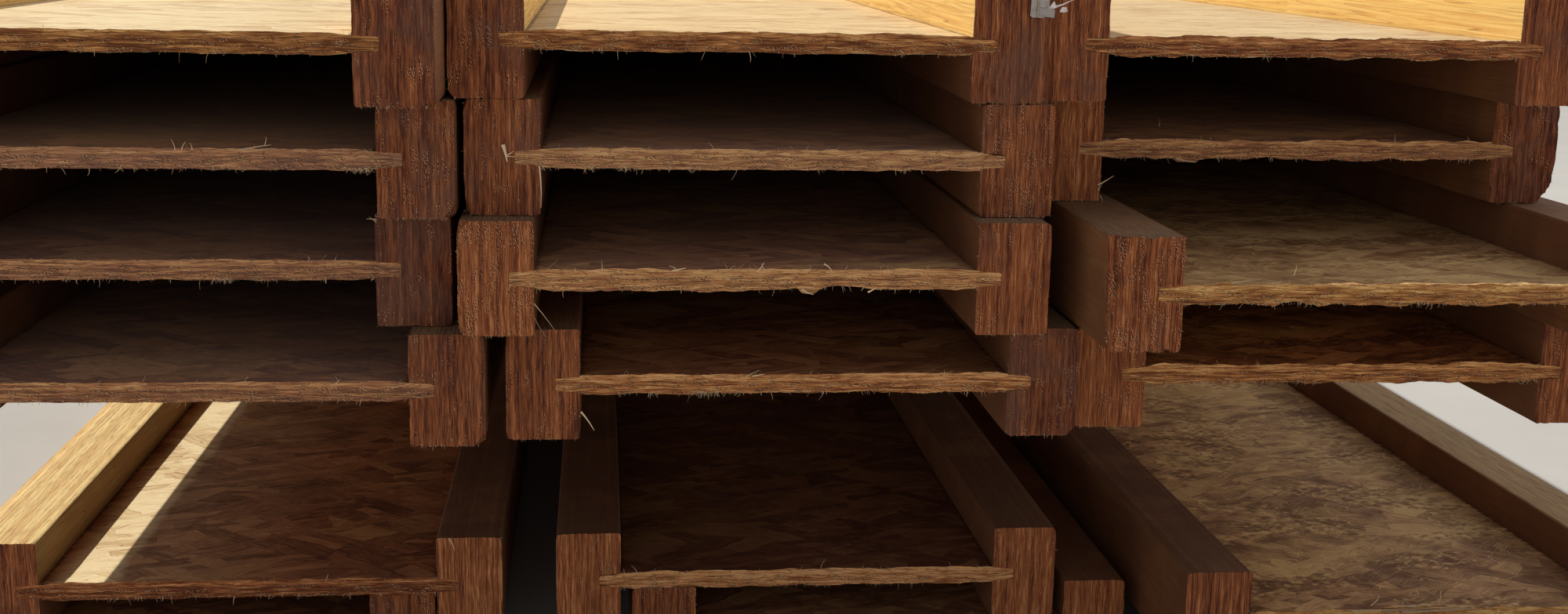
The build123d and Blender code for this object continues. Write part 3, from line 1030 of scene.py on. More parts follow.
# What the webs' materials read. tone: how clean the end and the face are. red and pale_red: from 0, a
# golden web, to 1, a reddish one, in its own colours and in its painted sunlight. pale_grey: how much grey
# is mixed into the painted sunlight. bleach: how strongly the painted sunlight shows. rough: how much the
# strands stand up. deep: painted shade, how much darker the face is deep in the stack. dull: how dusty the
# end is, and how much greyer the face is painted in the stack's hollows, which is painted shade.
# sunlit_from and sunlit_to: the stretch with painted sunlight, in millimetres from the stack's middle.
# Limits that put painted sunlight over a whole web's face, or over none of it.
ALL_SUNLIT = 5000.0
NOT_SUNLIT = -5000.0
COMMON_WEB = dict(
    tone=0.5, red=0.5, pale_red=0.5, pale_grey=0.0, sunlit_strength=1.0, rough=0.35, deep=0.0, dull=0.0,
    sunlit_to=NOT_SUNLIT, sunlit_from=NOT_SUNLIT,
)
WEB_LOOKS = {
    "a_left": dict(tone=0.25, red=0.15, pale_red=0.15, pale_grey=0.3, sunlit_to=ALL_SUNLIT),
    "a_middle": dict(tone=0.35, red=0.5, pale_red=0.45, pale_grey=0.35, rough=0.5, sunlit_to=ALL_SUNLIT),
    "a_right": dict(tone=0.3, red=0.8, pale_red=0.4, pale_grey=0.6, rough=0.5, sunlit_to=ALL_SUNLIT),
    "b_left": dict(tone=0.4, red=0.7, dull=1.0),
    "b_middle": dict(tone=0.75, red=0.45, dull=0.7),
    "b_right": dict(tone=0.55, red=0.4, dull=0.5),
    "c_left": dict(tone=0.42, red=0.6, dull=0.7),
    "c_middle": dict(tone=0.85, red=0.5, dull=0.35),
    "c_right": dict(tone=0.6, red=0.05, sunlit_strength=0.3, rough=0.9, sunlit_to=ALL_SUNLIT),
    "d_left": dict(tone=0.42, red=0.6, dull=0.55),
    "d_middle": dict(tone=0.7, red=0.75, deep=0.3),
    "d_right": dict(tone=0.55, red=0.5, rough=0.6),
    # On e_left the painted sunlight is a stretch between the flange's shadow and the upper bundle's shadow.
    "e_left": dict(tone=0.14, red=1.0, pale_red=0.1, rough=0.3, sunlit_to=-413.0, sunlit_from=-440.0),
    "e_middle": dict(tone=1.05, red=0.9, deep=0.6),
    "e_right": dict(tone=0.7, red=0.0, sunlit_strength=0.22, rough=1.0, sunlit_to=ALL_SUNLIT),
    "f_left": dict(deep=0.5),
    "f_middle": dict(deep=0.4),
    "f_right": dict(deep=0.5),
}
# What the flanges' materials read. tone: how clean the sawn end is. flecked: how strongly it is flecked,
# around 0. glued: how much its glue lines stand out. weathered: how greyed its upper face is.
COMMON_FLANGE = dict(tone=0.5, flecked=0.0, glued=0.0, weathered=0.0)
FLANGE_LOOKS = {
    "a_left_right": dict(tone=0.28),
    "a_middle_left": dict(tone=0.4, flecked=0.05),
    "a_middle_right": dict(tone=0.42, flecked=-0.1),
    "a_right_left": dict(flecked=-0.1),
    "b_left_right": dict(tone=0.36, flecked=0.08),
    "b_middle_left": dict(tone=0.44),
    "b_middle_right": dict(tone=0.5, flecked=0.1, glued=0.3),
    "b_right_left": dict(tone=0.86),
    "b_right_right": dict(tone=0.34),
    "c_left_right": dict(tone=0.18, flecked=-0.05),
    "c_middle_left": dict(tone=0.7, flecked=0.12),
    "c_middle_right": dict(tone=0.58, flecked=-0.02),
    "c_right_left": dict(tone=0.62, flecked=0.1, glued=0.65, weathered=0.35),
    "d_left_right": dict(tone=0.44),
    "d_middle_left": dict(tone=0.52),
    "d_middle_right": dict(tone=0.2),
    "d_right_left": dict(tone=0.7),
    "e_left_left": dict(flecked=-0.12),
    "e_left_right": dict(tone=0.9, flecked=-0.14, glued=0.5),
    "e_middle_left": dict(tone=0.95, flecked=-0.02),
    "e_middle_right": dict(tone=0.9, flecked=-0.04),
    "e_right_left": dict(tone=0.6, flecked=-0.14, glued=0.4),
    "e_right_right": dict(flecked=-0.1, weathered=0.6),
    "f_middle_right": dict(tone=0.85, flecked=-0.14),
}
# Painted sunlight: how pale the upper faces of these flanges are painted, where the light falls on them.
SUN_PAINTED_TOPS = {"e_left_left": 1.0, "f_left_left": 1.0, "e_right_right": 0.3}
# Painted sunlight: how pale the upper halves of these flanges' sides are painted: the side with the web, and
# the outer one.
# On e_left_left the side with the web takes painted bounce light.
SUN_PAINTED_SIDES = {"e_left_left": (0.3, 1.0), "f_left_left": (0.0, 1.0)}
# Rims that are torn deeper than most.
TORN_RIMS = {"c_right_left": 2.2 * MM, "b_right_right": 1.8 * MM, "a_middle_right": 1.1 * MM}
# How much deeper or shallower than usual the webs' rims are torn, by column.
RAGGED_COLUMNS = {"left": 0.7, "middle": 1.0, "right": 1.5}
# Bites out of a web's rim, or lips that hang from it: joist, from and to in millimetres across,
# lower (-1) or upper (1) rim, and how far it moves up in millimetres.
BITES = (
    ("c_middle", 182.0, 210.0, -1, 1.5),
    ("c_middle", 171.0, 182.0, -1, -2.2),
    ("c_middle", 40.0, 170.0, -1, -0.9),
    ("c_right", 86.0, 103.0, -1, 2.0),
    ("c_right", 104.0, 113.0, -1, -1.2),
    ("e_right", 112.0, 160.0, 1, 1.6),
    ("b_right", 78.0, 94.0, -1, -1.6),
)

# Corners broken off the front ends of flanges: the side and the end of the corner, then its width,
# height and length in millimetres.
CHIPS = {
    "a_left_right": ((1, -1, (6.5, 6.5, 14)),),
    "a_middle_left": ((-1, -1, (4, 4, 10)),),
    "b_left_right": ((1, 1, (6, 8, 14)), (1, -1, (6.5, 7.5, 13))),
    "b_middle_left": ((-1, 1, (2.5, 7, 9)), (-1, -1, (4, 9, 12))),
    "c_middle_left": ((-1, 1, (6, 7, 15)), (-1, -1, (2.5, 7, 9))),
    "d_left_right": ((1, -1, (6, 7, 11)),),
    "d_middle_right": ((1, -1, (5, 5, 12)),),
    "c_right_left": ((-1, 1, (7.5, 66, 11)),),
    "b_right_right": ((1, -1, (9, 12, 20)),),
}
SQUARED = 0.6


class JOISTS_OT_flanges(bpy.types.Operator):
    """Dress each flange: sawn ends in relief, ply edges and veneer faces"""
    bl_idname = "joists.flanges"
    bl_label = "Flanges"

    def execute(self, context):
        settings = context.scene.joists_flange
        materials = [
            flange_end_material(settings),
            flange_edge_material(settings),
            flange_face_material(settings),
        ]
        master = workable_copy("joist_a_left_flange_right", "flange master")
        divide_ends(master, settings.end_cell, settings.back_cell)
        name_ends(master, kept=self.in_groove)
        for material in materials:
            master.data.materials.append(material)
        plies = relief_texture("ply relief", 3, brightness=1.35, contrast=1.9)
        ply_size = stretch("ply size", (2.0 * MM, 26 * MM, 14 * MM))
        torn = relief_texture("torn relief", 2)
        torn_size = stretch("torn size", (1.3 * MM, 4 * MM, 5.0 * MM))
        for row, column in JOISTS:
            for side in ("left", "right"):
                node = f"joist_{row}_{column}_flange_{side}"
                key = f"{row}_{column}_{side}"
                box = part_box(node)
                piece = laid_copy(master, f"sawn_{node}", node, side == "left")
                square_corners(piece, box, 1 if side == "right" else -1, SQUARED)
                for chip in CHIPS.get(key, ()):
                    chop_corner(piece, box, *chip)
                assign_by_normal(piece)
                rim_relief = TORN_RIMS.get(key, settings.rim_relief)
                displace(piece, "front rim", plies, ply_size, rim_relief, "NORMAL", 1.0)
                displace(piece, "front end", torn, torn_size, settings.end_relief, "Y", 0.0)
                displace(piece, "back end", plies, ply_size, -settings.end_relief, "Y", 0.0)
                keep_inside(piece, box, (0, 1, 2))
                bpy.ops.object.shade_smooth_by_angle(angle=SMOOTH_ANGLE)
                give_numbers(piece, {**COMMON_FLANGE, **FLANGE_LOOKS.get(key, {})})
                self.give_light(piece, box, row, side, key)
                give_numbers(piece, {
                    "exposed": 1.0 if row in UPPER_ROWS else 0.2,
                    "lot": 2 * ROWS.index(row) + (side == "right"),
                    "front": box[0].y / MM,
                })
                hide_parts(node)
                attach(piece, "root")
        for helper in (master, ply_size, torn_size):
            bpy.data.objects.remove(helper)
        return {"FINISHED"}

    def in_groove(self, places):
        """Which of some places lie in the groove, where the web keeps the rim from wear."""
        return (abs(places[:, 2]) < GROOVE_HALF_HEIGHT) & (places[:, 0] < GROOVE_SIDE)

    def give_light(self, piece, box, row, side, key):
        """Painted sunlight: how pale each point is painted, on the upper halves of some flanges, where the
        light falls.
        """
        low, high = box
        points = points_of(piece)
        in_the_sun = points[:, 2] > (low.z + high.z) / 2
        towards_web = points[:, 0] < (low.x + high.x) / 2
        if side == "left":
            towards_web = ~towards_web
        inner, outer = SUN_PAINTED_SIDES.get(key, (float(row == "a"), 0.0))
        give_numbers(piece, {
            "sun_paint": in_the_sun if row == "a" else SUN_PAINTED_TOPS.get(key, 0.0),
            "side_sun_paint": in_the_sun * np.where(towards_web, inner, outer),
        })


class JOISTS_OT_webs(bpy.types.Operator):
    """Dress each web: ragged sawn ends and faces of pressed strands"""
    bl_idname = "joists.webs"
    bl_label = "Webs"

    def execute(self, context):
        settings = context.scene.joists_web
        face = web_face_material(settings)
        materials = [web_end_material(settings), face, face]
        master = workable_copy("joist_a_left_web", "web master")
        divide_ends(master, settings.end_cell, settings.back_cell)
        name_ends(master)
        for material in materials:
            master.data.materials.append(material)
        assign_by_normal(master)
        strands = relief_texture("strand relief", 3)
        strand_size = stretch("strand size", (6 * MM, 20 * MM, 1.2 * MM))
        ragged = relief_texture("ragged relief", 4, contrast=1.6)
        ragged_size = stretch("ragged size", (15 * MM, 10 * MM, 5 * MM))
        for row, column in JOISTS:
            joist = f"{row}_{column}"
            node = f"joist_{joist}_web"
            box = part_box(node)
            piece = laid_copy(master, f"sawn_{node}", node, False)
            swell_rims(piece, box, settings.swelling)
            bite_rims(piece, box, joist)
            rim_relief = settings.rim_relief * RAGGED_COLUMNS[column]
            displace(piece, "front rim", ragged, ragged_size, rim_relief, "Z", 0.5)
            displace(piece, "back rim", ragged, ragged_size, rim_relief, "Z", 0.5)
            displace(piece, "front end", strands, strand_size, settings.end_relief, "Y", 0.0)
            displace(piece, "back end", strands, strand_size, -settings.end_relief, "Y", 0.0)
            keep_inside(piece, box, (0, 1))
            bpy.ops.object.shade_smooth_by_angle(angle=SMOOTH_ANGLE)
            give_numbers(piece, {**COMMON_WEB, **WEB_LOOKS.get(joist, {})})
            give_numbers(piece, {
                "layer": layers_of(piece, box),
                "front": box[0].y / MM,
                "middle": (box[0].x + box[1].x) / 2 / MM,
            })
            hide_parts(node)
            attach(piece, "root")
        for helper in (master, strand_size, ragged_size):
            bpy.data.objects.remove(helper)
        return {"FINISHED"}


class JOISTS_OT_spacers(bpy.types.Operator):
    """Finish the timber spacers between the bundles"""
    bl_idname = "joists.spacers"
    bl_label = "Spacers"

    def execute(self, context):
        material = spacer_material(context.scene.joists_spacer)
        for name in SPACERS:
            for material_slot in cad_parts[name].material_slots:
                material_slot.material = material
        return {"FINISHED"}


def sliver_shape():
    """One tapered sliver, of unit length along Z and unit width: its points, and its faces' corners."""
    cone = {"vertices": 4, "radius1": 0.5, "radius2": 0.12, "depth": 1.0, "location": (0, 0, 0.5)}
    sliver = added(bpy.ops.mesh.primitive_cone_add, **cone)
    settle(sliver)
    with editing(sliver):
        cut(UP, [0.28, 0.62])
        bpy.ops.mesh.select_all(action="SELECT")
        bpy.ops.mesh.normals_make_consistent(inside=False)
    points = np.array([vertex.co for vertex in sliver.data.vertices])
    faces = [tuple(face.vertices) for face in sliver.data.polygons]
    bpy.data.objects.remove(sliver)
    return points, faces


class Fibres:
    """A growing list of fibres, made into one mesh at the end. Lengths in metres, tone from 0 to 1."""

    def __init__(self, shape):
        self.points, self.faces = shape
        self.placed = []
        self.tones = []

    def add(self, start, reach, width, bend, tone, flat=0.6):
        """A fibre from its start by its reach, bowed by its bend, as thick as a share of its width."""
        start, reach, bend = (np.asarray(value, float) for value in (start, reach, bend))
        aim = reach / np.linalg.norm(reach)
        side = np.cross(aim, (0.31, -0.9, 0.2))
        side /= np.linalg.norm(side)
        over = np.cross(aim, side)
        across, through, along = self.points.T
        bow = 4 * along * (1 - along)
        self.placed.append(
            start
            + np.outer(along, reach)
            + np.outer(bow, bend)
            + np.outer(across * width, side)
            + np.outer(through * width * flat, over)
        )
        self.tones.append(tone)

    def make(self, name, slot, material, low, high):
        """The joined mesh, kept inside a box."""
        count = len(self.points)
        points = np.clip(np.concatenate(self.placed), low, high)
        faces = [
            tuple(corner + count * index for corner in face)
            for index in range(len(self.placed))
            for face in self.faces
        ]
        mesh = bpy.data.meshes.new(name)
        mesh.from_pydata(points.tolist(), [], faces)
        mesh.materials.append(material)
        piece = new_object(name, mesh)
        only(piece)
        bpy.ops.object.shade_smooth_by_angle(angle=FIBRE_ANGLE)
        give_numbers(piece, {"tone": np.repeat(self.tones, count)})
        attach(piece, "root")


def tear(fibres, luck, start, aim, long, bow, settings, widest, tones):
    """Add a torn fibre that aims somewhere from its start. Its bow, width and tone are drawn by lot."""
    reach = np.array(aim) / np.linalg.norm(aim) * long
    bend = luck.normal(0, bow, 3) * long
    width = settings.thickness * luck.uniform(0.6, widest)
    fibres.add(start, reach, width, bend, luck.uniform(*tones))


# How near a web's fibres come to its sides, which lie in the flanges' grooves.
WEB_MARGIN = 14 * MM
# The share of a web's fibres that stand in clumps, and how many clumps there are.
CLUMPED = 0.62
CLUMPS = 12
# Draws from 0 to 1 below these make fuzz or a splinter on a web, and the others a fleck.
FUZZ, SPLINTERS = 0.5, 0.72
# Draws below these make a fibre at a flange's lower rim or its sides, and the others one in a column.
AT_RIM, AT_SIDES = 0.3, 0.42
FLANGE_COLUMNS = 4


def fringe_web(fibres, box, luck, settings, share):
    """Fuzz along a web's lower front rim, splinters along its upper rim, and flecks between them."""
    low, high = box
    near = low.y
    clumps = luck.uniform(low.x + 16 * MM, high.x - 16 * MM, CLUMPS)
    for _ in range(round(settings.per_web * share)):
        clumped = luck.random() < CLUMPED
        x = luck.normal(luck.choice(clumps), 5 * MM) if clumped else luck.uniform(low.x, high.x)
        x = min(max(x, low.x + WEB_MARGIN), high.x - WEB_MARGIN)
        kind = luck.random()
        long = min(luck.lognormal(math.log(settings.length_middle), 0.55), settings.length_most)
        if kind < FUZZ:
            start = (x, near + luck.uniform(0.2, 1.8) * MM, low.z + 0.9 * MM)
            aim = (luck.normal(0, 0.6), luck.uniform(-0.5, 0.15), -1.0)
            long = long * 0.9 + 0.7 * MM
        elif kind < SPLINTERS:
            start = (x, near + luck.uniform(0.4, 1.8) * MM, high.z - 0.9 * MM)
            aim = (luck.normal(0, 1.3), luck.uniform(-0.6, 0.3), 0.9)
            long = long + 0.7 * MM
        else:
            start = (x, near + 1.0 * MM, luck.uniform(low.z, high.z))
            aim = (luck.choice((-1, 1)), -0.4, luck.normal(0, 0.35))
            long = 0.8 * MM + 0.7 * long
        tear(fibres, luck, start, aim, long, 0.1, settings, 1.5, (0.25, 1.0))


def fringe_flange(fibres, box, luck, settings):
    """Torn fibres on a flange's front end: along its lower rim, at its sides, and in columns on its face."""
    low, high = box
    near = low.y
    columns = luck.uniform(low.x + 3 * MM, high.x - 3 * MM, FLANGE_COLUMNS)
    for _ in range(settings.per_flange):
        kind = luck.random()
        long = min(luck.lognormal(math.log(settings.length_middle * 0.75), 0.45), settings.length_most)
        if kind < AT_RIM:
            x = luck.uniform(low.x + 3 * MM, high.x - 3 * MM)
            start = (x, near + luck.uniform(0.3, 1.5) * MM, low.z + 0.8 * MM)
            aim = (luck.normal(0, 0.3), luck.uniform(-0.3, 0.1), -1.0)
            long = long * 0.7 + 0.6 * MM
        elif kind < AT_SIDES:
            side = luck.choice((-1, 1))
            edge = high.x if side > 0 else low.x
            start = (edge - side * 0.6 * MM, near + luck.uniform(0.3, 1.5) * MM, luck.uniform(low.z, high.z))
            aim = (side, luck.uniform(-0.4, 0.1), luck.normal(-0.4, 0.6))
            long = long * 0.6 + 0.5 * MM
        else:
            x = luck.normal(luck.choice(columns), 0.5 * MM)
            x = min(max(x, low.x + MM), high.x - MM)
            start = (x, near + 0.9 * MM, luck.uniform(low.z + 3 * MM, high.z))
            aim = (luck.normal(0, 0.2), -0.5, -1.0)
        tear(fibres, luck, start, aim, long, 0.08, settings, 1.4, (0.2, 0.85))


# Single fibres that show on the front ends: joist, place across and up on the joist's end in
# millimetres, where the fibre starts and ends, how far it stands out, width, bow across, tone.
SINGLE_FIBRES = (
    ("b_middle", (19.6, 6.6), (21.6, -2.0), (0.2, 0.6), 2.0, 0.2, 1.0),
    ("b_middle", (21.4, 1.2), (25.2, 3.6), (0.2, 1.0), 0.6, 0.2, 0.95),
    ("b_middle", (21.4, 0.8), (26.4, 0.4), (0.2, 0.6), 0.5, 0.3, 0.9),
    ("b_middle", (37.6, -4.2), (38.2, -25.3), (0.1, 0.5), 0.8, 0.5, 1.0),
    ("c_middle", (38.0, -12.6), (48.7, -31.5), (-0.4, -16.6), 0.45, 0.4, 0.95),
    ("c_middle", (38.0, -19.6), (43.5, -33.6), (-0.4, -16.6), 0.35, -0.3, 0.6),
    ("d_middle", (38.5, -14.3), (45.3, -24.1), (0.2, 1.2), 1.1, 0.4, 0.9),
    ("d_middle", (127.6, 4.2), (133.8, 5.9), (0.0, 2.2), 0.7, 0.8, 0.95),
    ("d_middle", (124.0, 4.0), (131.0, 7.8), (0.0, 1.4), 0.5, -0.8, 0.8),
    ("c_middle", (107.3, 4.4), (114.0, 6.2), (0.0, 2.0), 0.8, 1.0, 1.0),
    ("c_middle", (110.0, 3.8), (105.4, 7.4), (0.0, 1.4), 0.6, 0.8, 0.9),
    ("c_middle", (150.2, 4.0), (153.4, 9.0), (0.0, 1.0), 0.7, 0.4, 1.0),
    ("c_middle", (153.8, 4.0), (152.0, 8.2), (0.0, 0.8), 0.6, 0.2, 0.8),
    ("c_middle", (71.9, 4.2), (71.7, 9.8), (-0.6, 0.4), 0.35, 0.2, 1.0),
    ("a_middle", (149.5, -4.2), (150.4, -9.6), (0.0, 0.8), 0.45, 0.4, 0.9),
    ("c_left", (264.6, 26.0), (259.6, 26.6), (0.1, 0.8), 0.5, 0.4, 0.9),
    ("c_left", (264.4, 24.6), (261.0, 27.6), (0.1, 0.8), 0.4, 0.2, 0.8),
    ("b_right", (36.4, -20.3), (44.4, -14.8), (0.4, 2.6), 0.8, 0.6, 1.0),
    ("b_right", (37.0, -23.4), (39.9, -17.4), (0.4, 1.4), 0.5, -0.5, 0.9),
    ("b_right", (38.0, -26.0), (39.6, -30.4), (0.3, 1.0), 0.5, 0.3, 0.7),
    ("b_right", (73.7, 10.9), (75.6, 15.7), (-14.0, -20.0), 0.3, 0.2, 0.8),
    ("b_right", (80.2, -5.0), (91.4, -7.0), (0.2, 1.2), 1.2, -1.0, 0.5),
    ("c_middle", (207.0, -6.6), (211.2, -3.8), (0.2, 1.8), 1.0, 0.3, 1.0),
    ("c_middle", (184.0, 8.2), (188.2, 3.8), (0.2, 1.4), 0.8, 0.8, 1.0),
    ("c_middle", (173.0, -5.0), (179.0, -7.6), (0.1, 0.8), 1.6, -0.6, 0.7),
    ("c_right", (104.5, -5.2), (113.4, -8.0), (0.2, 1.6), 1.3, -0.8, 1.0),
    ("c_right", (97.0, 8.6), (98.8, 13.6), (-8.0, -10.0), 0.6, 0.3, 1.0),
    ("c_right", (60.0, 5.4), (73.0, 6.4), (-2.0, -4.0), 0.6, 1.0, 0.9),
    ("e_right", (112.0, 5.4), (118.0, 11.0), (-6.0, -10.0), 0.7, 2.0, 1.0),
    ("e_right", (129.6, 5.4), (130.6, 10.4), (-4.0, -6.0), 0.5, 0.8, 0.9),
    ("e_right", (152.6, 5.6), (155.0, 12.6), (-6.0, -9.0), 0.6, 0.6, 1.0),
    ("e_right", (120.0, 5.8), (150.0, 7.4), (-1.0, -1.0), 0.9, 2.4, 0.8),
    ("e_right", (134.0, 5.0), (158.0, 6.6), (0.0, 0.8), 0.8, 1.4, 0.6),
    ("e_right", (116.0, 4.6), (146.0, 6.2), (0.6, 2.0), 2.0, 1.2, 0.25),
    ("e_right", (128.0, 4.0), (168.0, 5.4), (0.8, 1.6), 1.6, -1.0, 0.4),
    ("e_right", (150.0, 5.2), (176.0, 5.0), (0.4, 2.2), 1.8, 1.6, 0.3),
    ("e_right", (98.0, 5.0), (124.0, 5.6), (0.5, 1.4), 1.4, 0.8, 0.5),
    ("e_right", (140.0, 5.4), (120.0, 8.4), (-1.0, 1.0), 1.4, 0.8, 0.45),
    ("e_left", (271.1, 29.2), (274.4, 22.0), (0.3, 1.4), 0.9, 0.5, 1.0),
    ("e_left", (199.7, 4.2), (201.4, 9.0), (0.0, 0.8), 0.4, 0.4, 0.95),
    ("e_left", (147.9, -4.2), (147.0, -9.4), (0.0, 0.8), 0.4, -0.4, 0.95),
    ("b_left", (168.0, 4.0), (166.4, 9.6), (0.0, 0.6), 0.5, 0.4, 0.8),
    ("b_left", (171.0, 4.0), (173.2, 8.4), (0.0, 0.8), 0.5, -0.4, 0.9),
    ("b_left", (176.0, 4.0), (175.2, 8.0), (0.0, 0.8), 0.5, 0.4, 0.8),
    ("b_left", (198.0, 4.4), (214.0, 7.4), (0.4, 2.2), 0.9, 1.6, 0.5),
    ("b_left", (206.0, 4.4), (216.6, 5.6), (0.4, 2.6), 0.9, 1.0, 0.45),
    ("b_left", (210.4, 6.6), (211.6, 11.2), (1.0, 1.6), 0.5, 0.4, 0.6),
)
# Stretches of a web's lower rim with thick fuzz: joist, from, to in millimetres, how many fibres.
TUFTS = (
    ("c_left", 181.9, 193.5, 34), ("b_left", 249.6, 261.7, 44), ("d_middle", 73.8, 79.5, 16),
    ("d_middle", 95.0, 123.7, 52), ("b_middle", 60.0, 66.0, 14), ("b_middle", 76.0, 82.0, 16),
    ("b_middle", 112.0, 120.0, 12), ("d_right", 60.0, 90.0, 30), ("c_right", 150.0, 176.0, 30),
)


# The first joist's lot number, and the share of the usual fibres that the top row's webs have.
FIRST_LOT = 1000
TOP_ROW_SHARE = 0.4


def joist_corner(joist):
    """Left edge, front and mid-height of a joist."""
    left_low, left_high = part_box(f"joist_{joist}_flange_left")
    return left_low.x, left_low.y, (left_low.z + left_high.z) / 2


def on_end(joist, across, up, out):
    """A place at a joist's end, from millimetres across from its left, up from its middle, and out of it."""
    left, front, middle = joist_corner(joist)
    return np.array((left + across * MM, front - out * MM, middle + up * MM))


class JOISTS_OT_fibres(bpy.types.Operator):
    """Tear fibres out of the front ends, and lay down the single ones that stand out"""
    bl_idname = "joists.fibres"
    bl_label = "Torn fibres"

    def execute(self, context):
        settings = context.scene.joists_fibre
        material = fibre_material(settings)
        shape = sliver_shape()
        margin = Vector((0.05, 0.05, 0.05)) * MM
        low = Vector(cad_box[0]) + margin
        high = Vector(cad_box[1]) - margin
        for index, (row, column) in enumerate(JOISTS):
            joist = f"{row}_{column}"
            luck = np.random.default_rng(FIRST_LOT + index)
            web = Fibres(shape)
            share = TOP_ROW_SHARE if row == "a" else 1.0
            fringe_web(web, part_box(f"joist_{joist}_web"), luck, settings, share)
            self.add_tufts(web, joist, luck, settings)
            web.make(f"fibres_{joist}_web", "web_osb", material, low, high)
            flanges = Fibres(shape)
            for side in ("left", "right"):
                fringe_flange(flanges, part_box(f"joist_{joist}_flange_{side}"), luck, settings)
            self.add_single(flanges, joist)
            flanges.make(f"fibres_{joist}_flanges", "flange_lvl", material, low, high)
        return {"FINISHED"}

    def add_tufts(self, fibres, joist, luck, settings):
        """Thick fuzz along some stretches of the lower rim."""
        left, front, _ = joist_corner(joist)
        low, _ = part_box(f"joist_{joist}_web")
        for name, start, end, count in TUFTS:
            for _ in range(count if name == joist else 0):
                x = left + luck.uniform(start, end) * MM
                foot = (x, front + luck.uniform(0.0, 1.2) * MM, low.z + 0.8 * MM)
                long = luck.uniform(1.6, 4.2) * MM
                aim = (luck.normal(0, 0.8), luck.uniform(-0.4, 0.1), -0.7)
                tear(fibres, luck, foot, aim, long, 0.16, settings, 1.1, (0.5, 1.0))

    def add_single(self, fibres, joist):
        """The fibres that stand out on one joist."""
        for name, start, end, out, width, bow, tone in SINGLE_FIBRES:
            if name == joist:
                foot = on_end(joist, *start, out[0])
                tip = on_end(joist, *end, out[1])
                fibres.add(foot, tip - foot, width * MM, (bow * MM, -0.2 * MM, 0.3 * bow * MM), tone, 0.35)


def tag_material(settings):
    """Thin weathered sheet: grey and dusty, paler along its torn edges."""
    material, w, shader = new_material("blank tag")
    dust = w.group("Dirt", place=w.place(), size=4.0, amount=0.6)
    creases = w.group("Streaks", place=w.place(), size=(1.1, 2.4, 1.0))
    base = w.blend(w.own("tone"), settings.sheet, settings.torn)
    base = w.blend(w.times(dust["Dirt"], 0.5), base, TAG_DUST)
    finish(w, shader, base, w.rise(creases["Broad"], 0.3, 0.7, 0.45, 0.7), creases["Broad"], 0.2, 0.7)
    return material


TAG_JOIST = "a_middle"
# Scraps of the tag: name, middle, width and height in millimetres on the joist's end, turn in
# degrees, how far its middle stands out, tone, and the cuts that shape it, each as a place and a
# direction on the scrap, in shares of its half-width.
TAG_SCRAPS = (
    (
        "tag_sheet", (297.0, 19.6), (9.4, 10.0), 3.0, 0.8, 0.15,
        (((-0.9, -0.9), (-0.5, -0.8)), ((0.9, -0.4), (0.9, -0.5))),
    ),
    (
        "tag_flap", (300.4, 17.2), (8.4, 4.2), 5.0, 1.5, 0.05,
        (((-0.9, -0.5), (-0.7, -0.7)), ((0.9, 0.9), (0.4, 0.9))),
    ),
    (
        "tag_shred_left", (303.6, 21.6), (3.4, 3.6), 12.0, 2.2, 1.0,
        (((-0.2, 0.5), (-0.9, 0.5)), ((0.4, 0.3), (0.8, 0.6))),
    ),
    (
        "tag_shred_right", (308.2, 18.8), (4.6, 3.4), -24.0, 2.6, 0.95,
        (((-0.3, 0.3), (-0.7, 0.7)), ((-0.4, -0.5), (-0.6, -0.8)), ((0.6, 0.5), (0.5, 0.9))),
    ),
)
SCRAP_CELLS = 14
# In millimetres across, up and out, on the same end: the twisted shred's foot and tip, the staple's
# middle, and the sizes of its back. Then the length of its legs, and how far its edges are rounded.
SHRED_FOOT = (299.4, 18.2, 0.6)
SHRED_TIP = (314.6, 24.4, 2.4)
STAPLE_PLACE = (295.9, 20.0, 1.7)
STAPLE_BACK = (1.0, 0.5, 10.5)
STAPLE_LEG = 5.0
STAPLE_BEVEL = 0.16


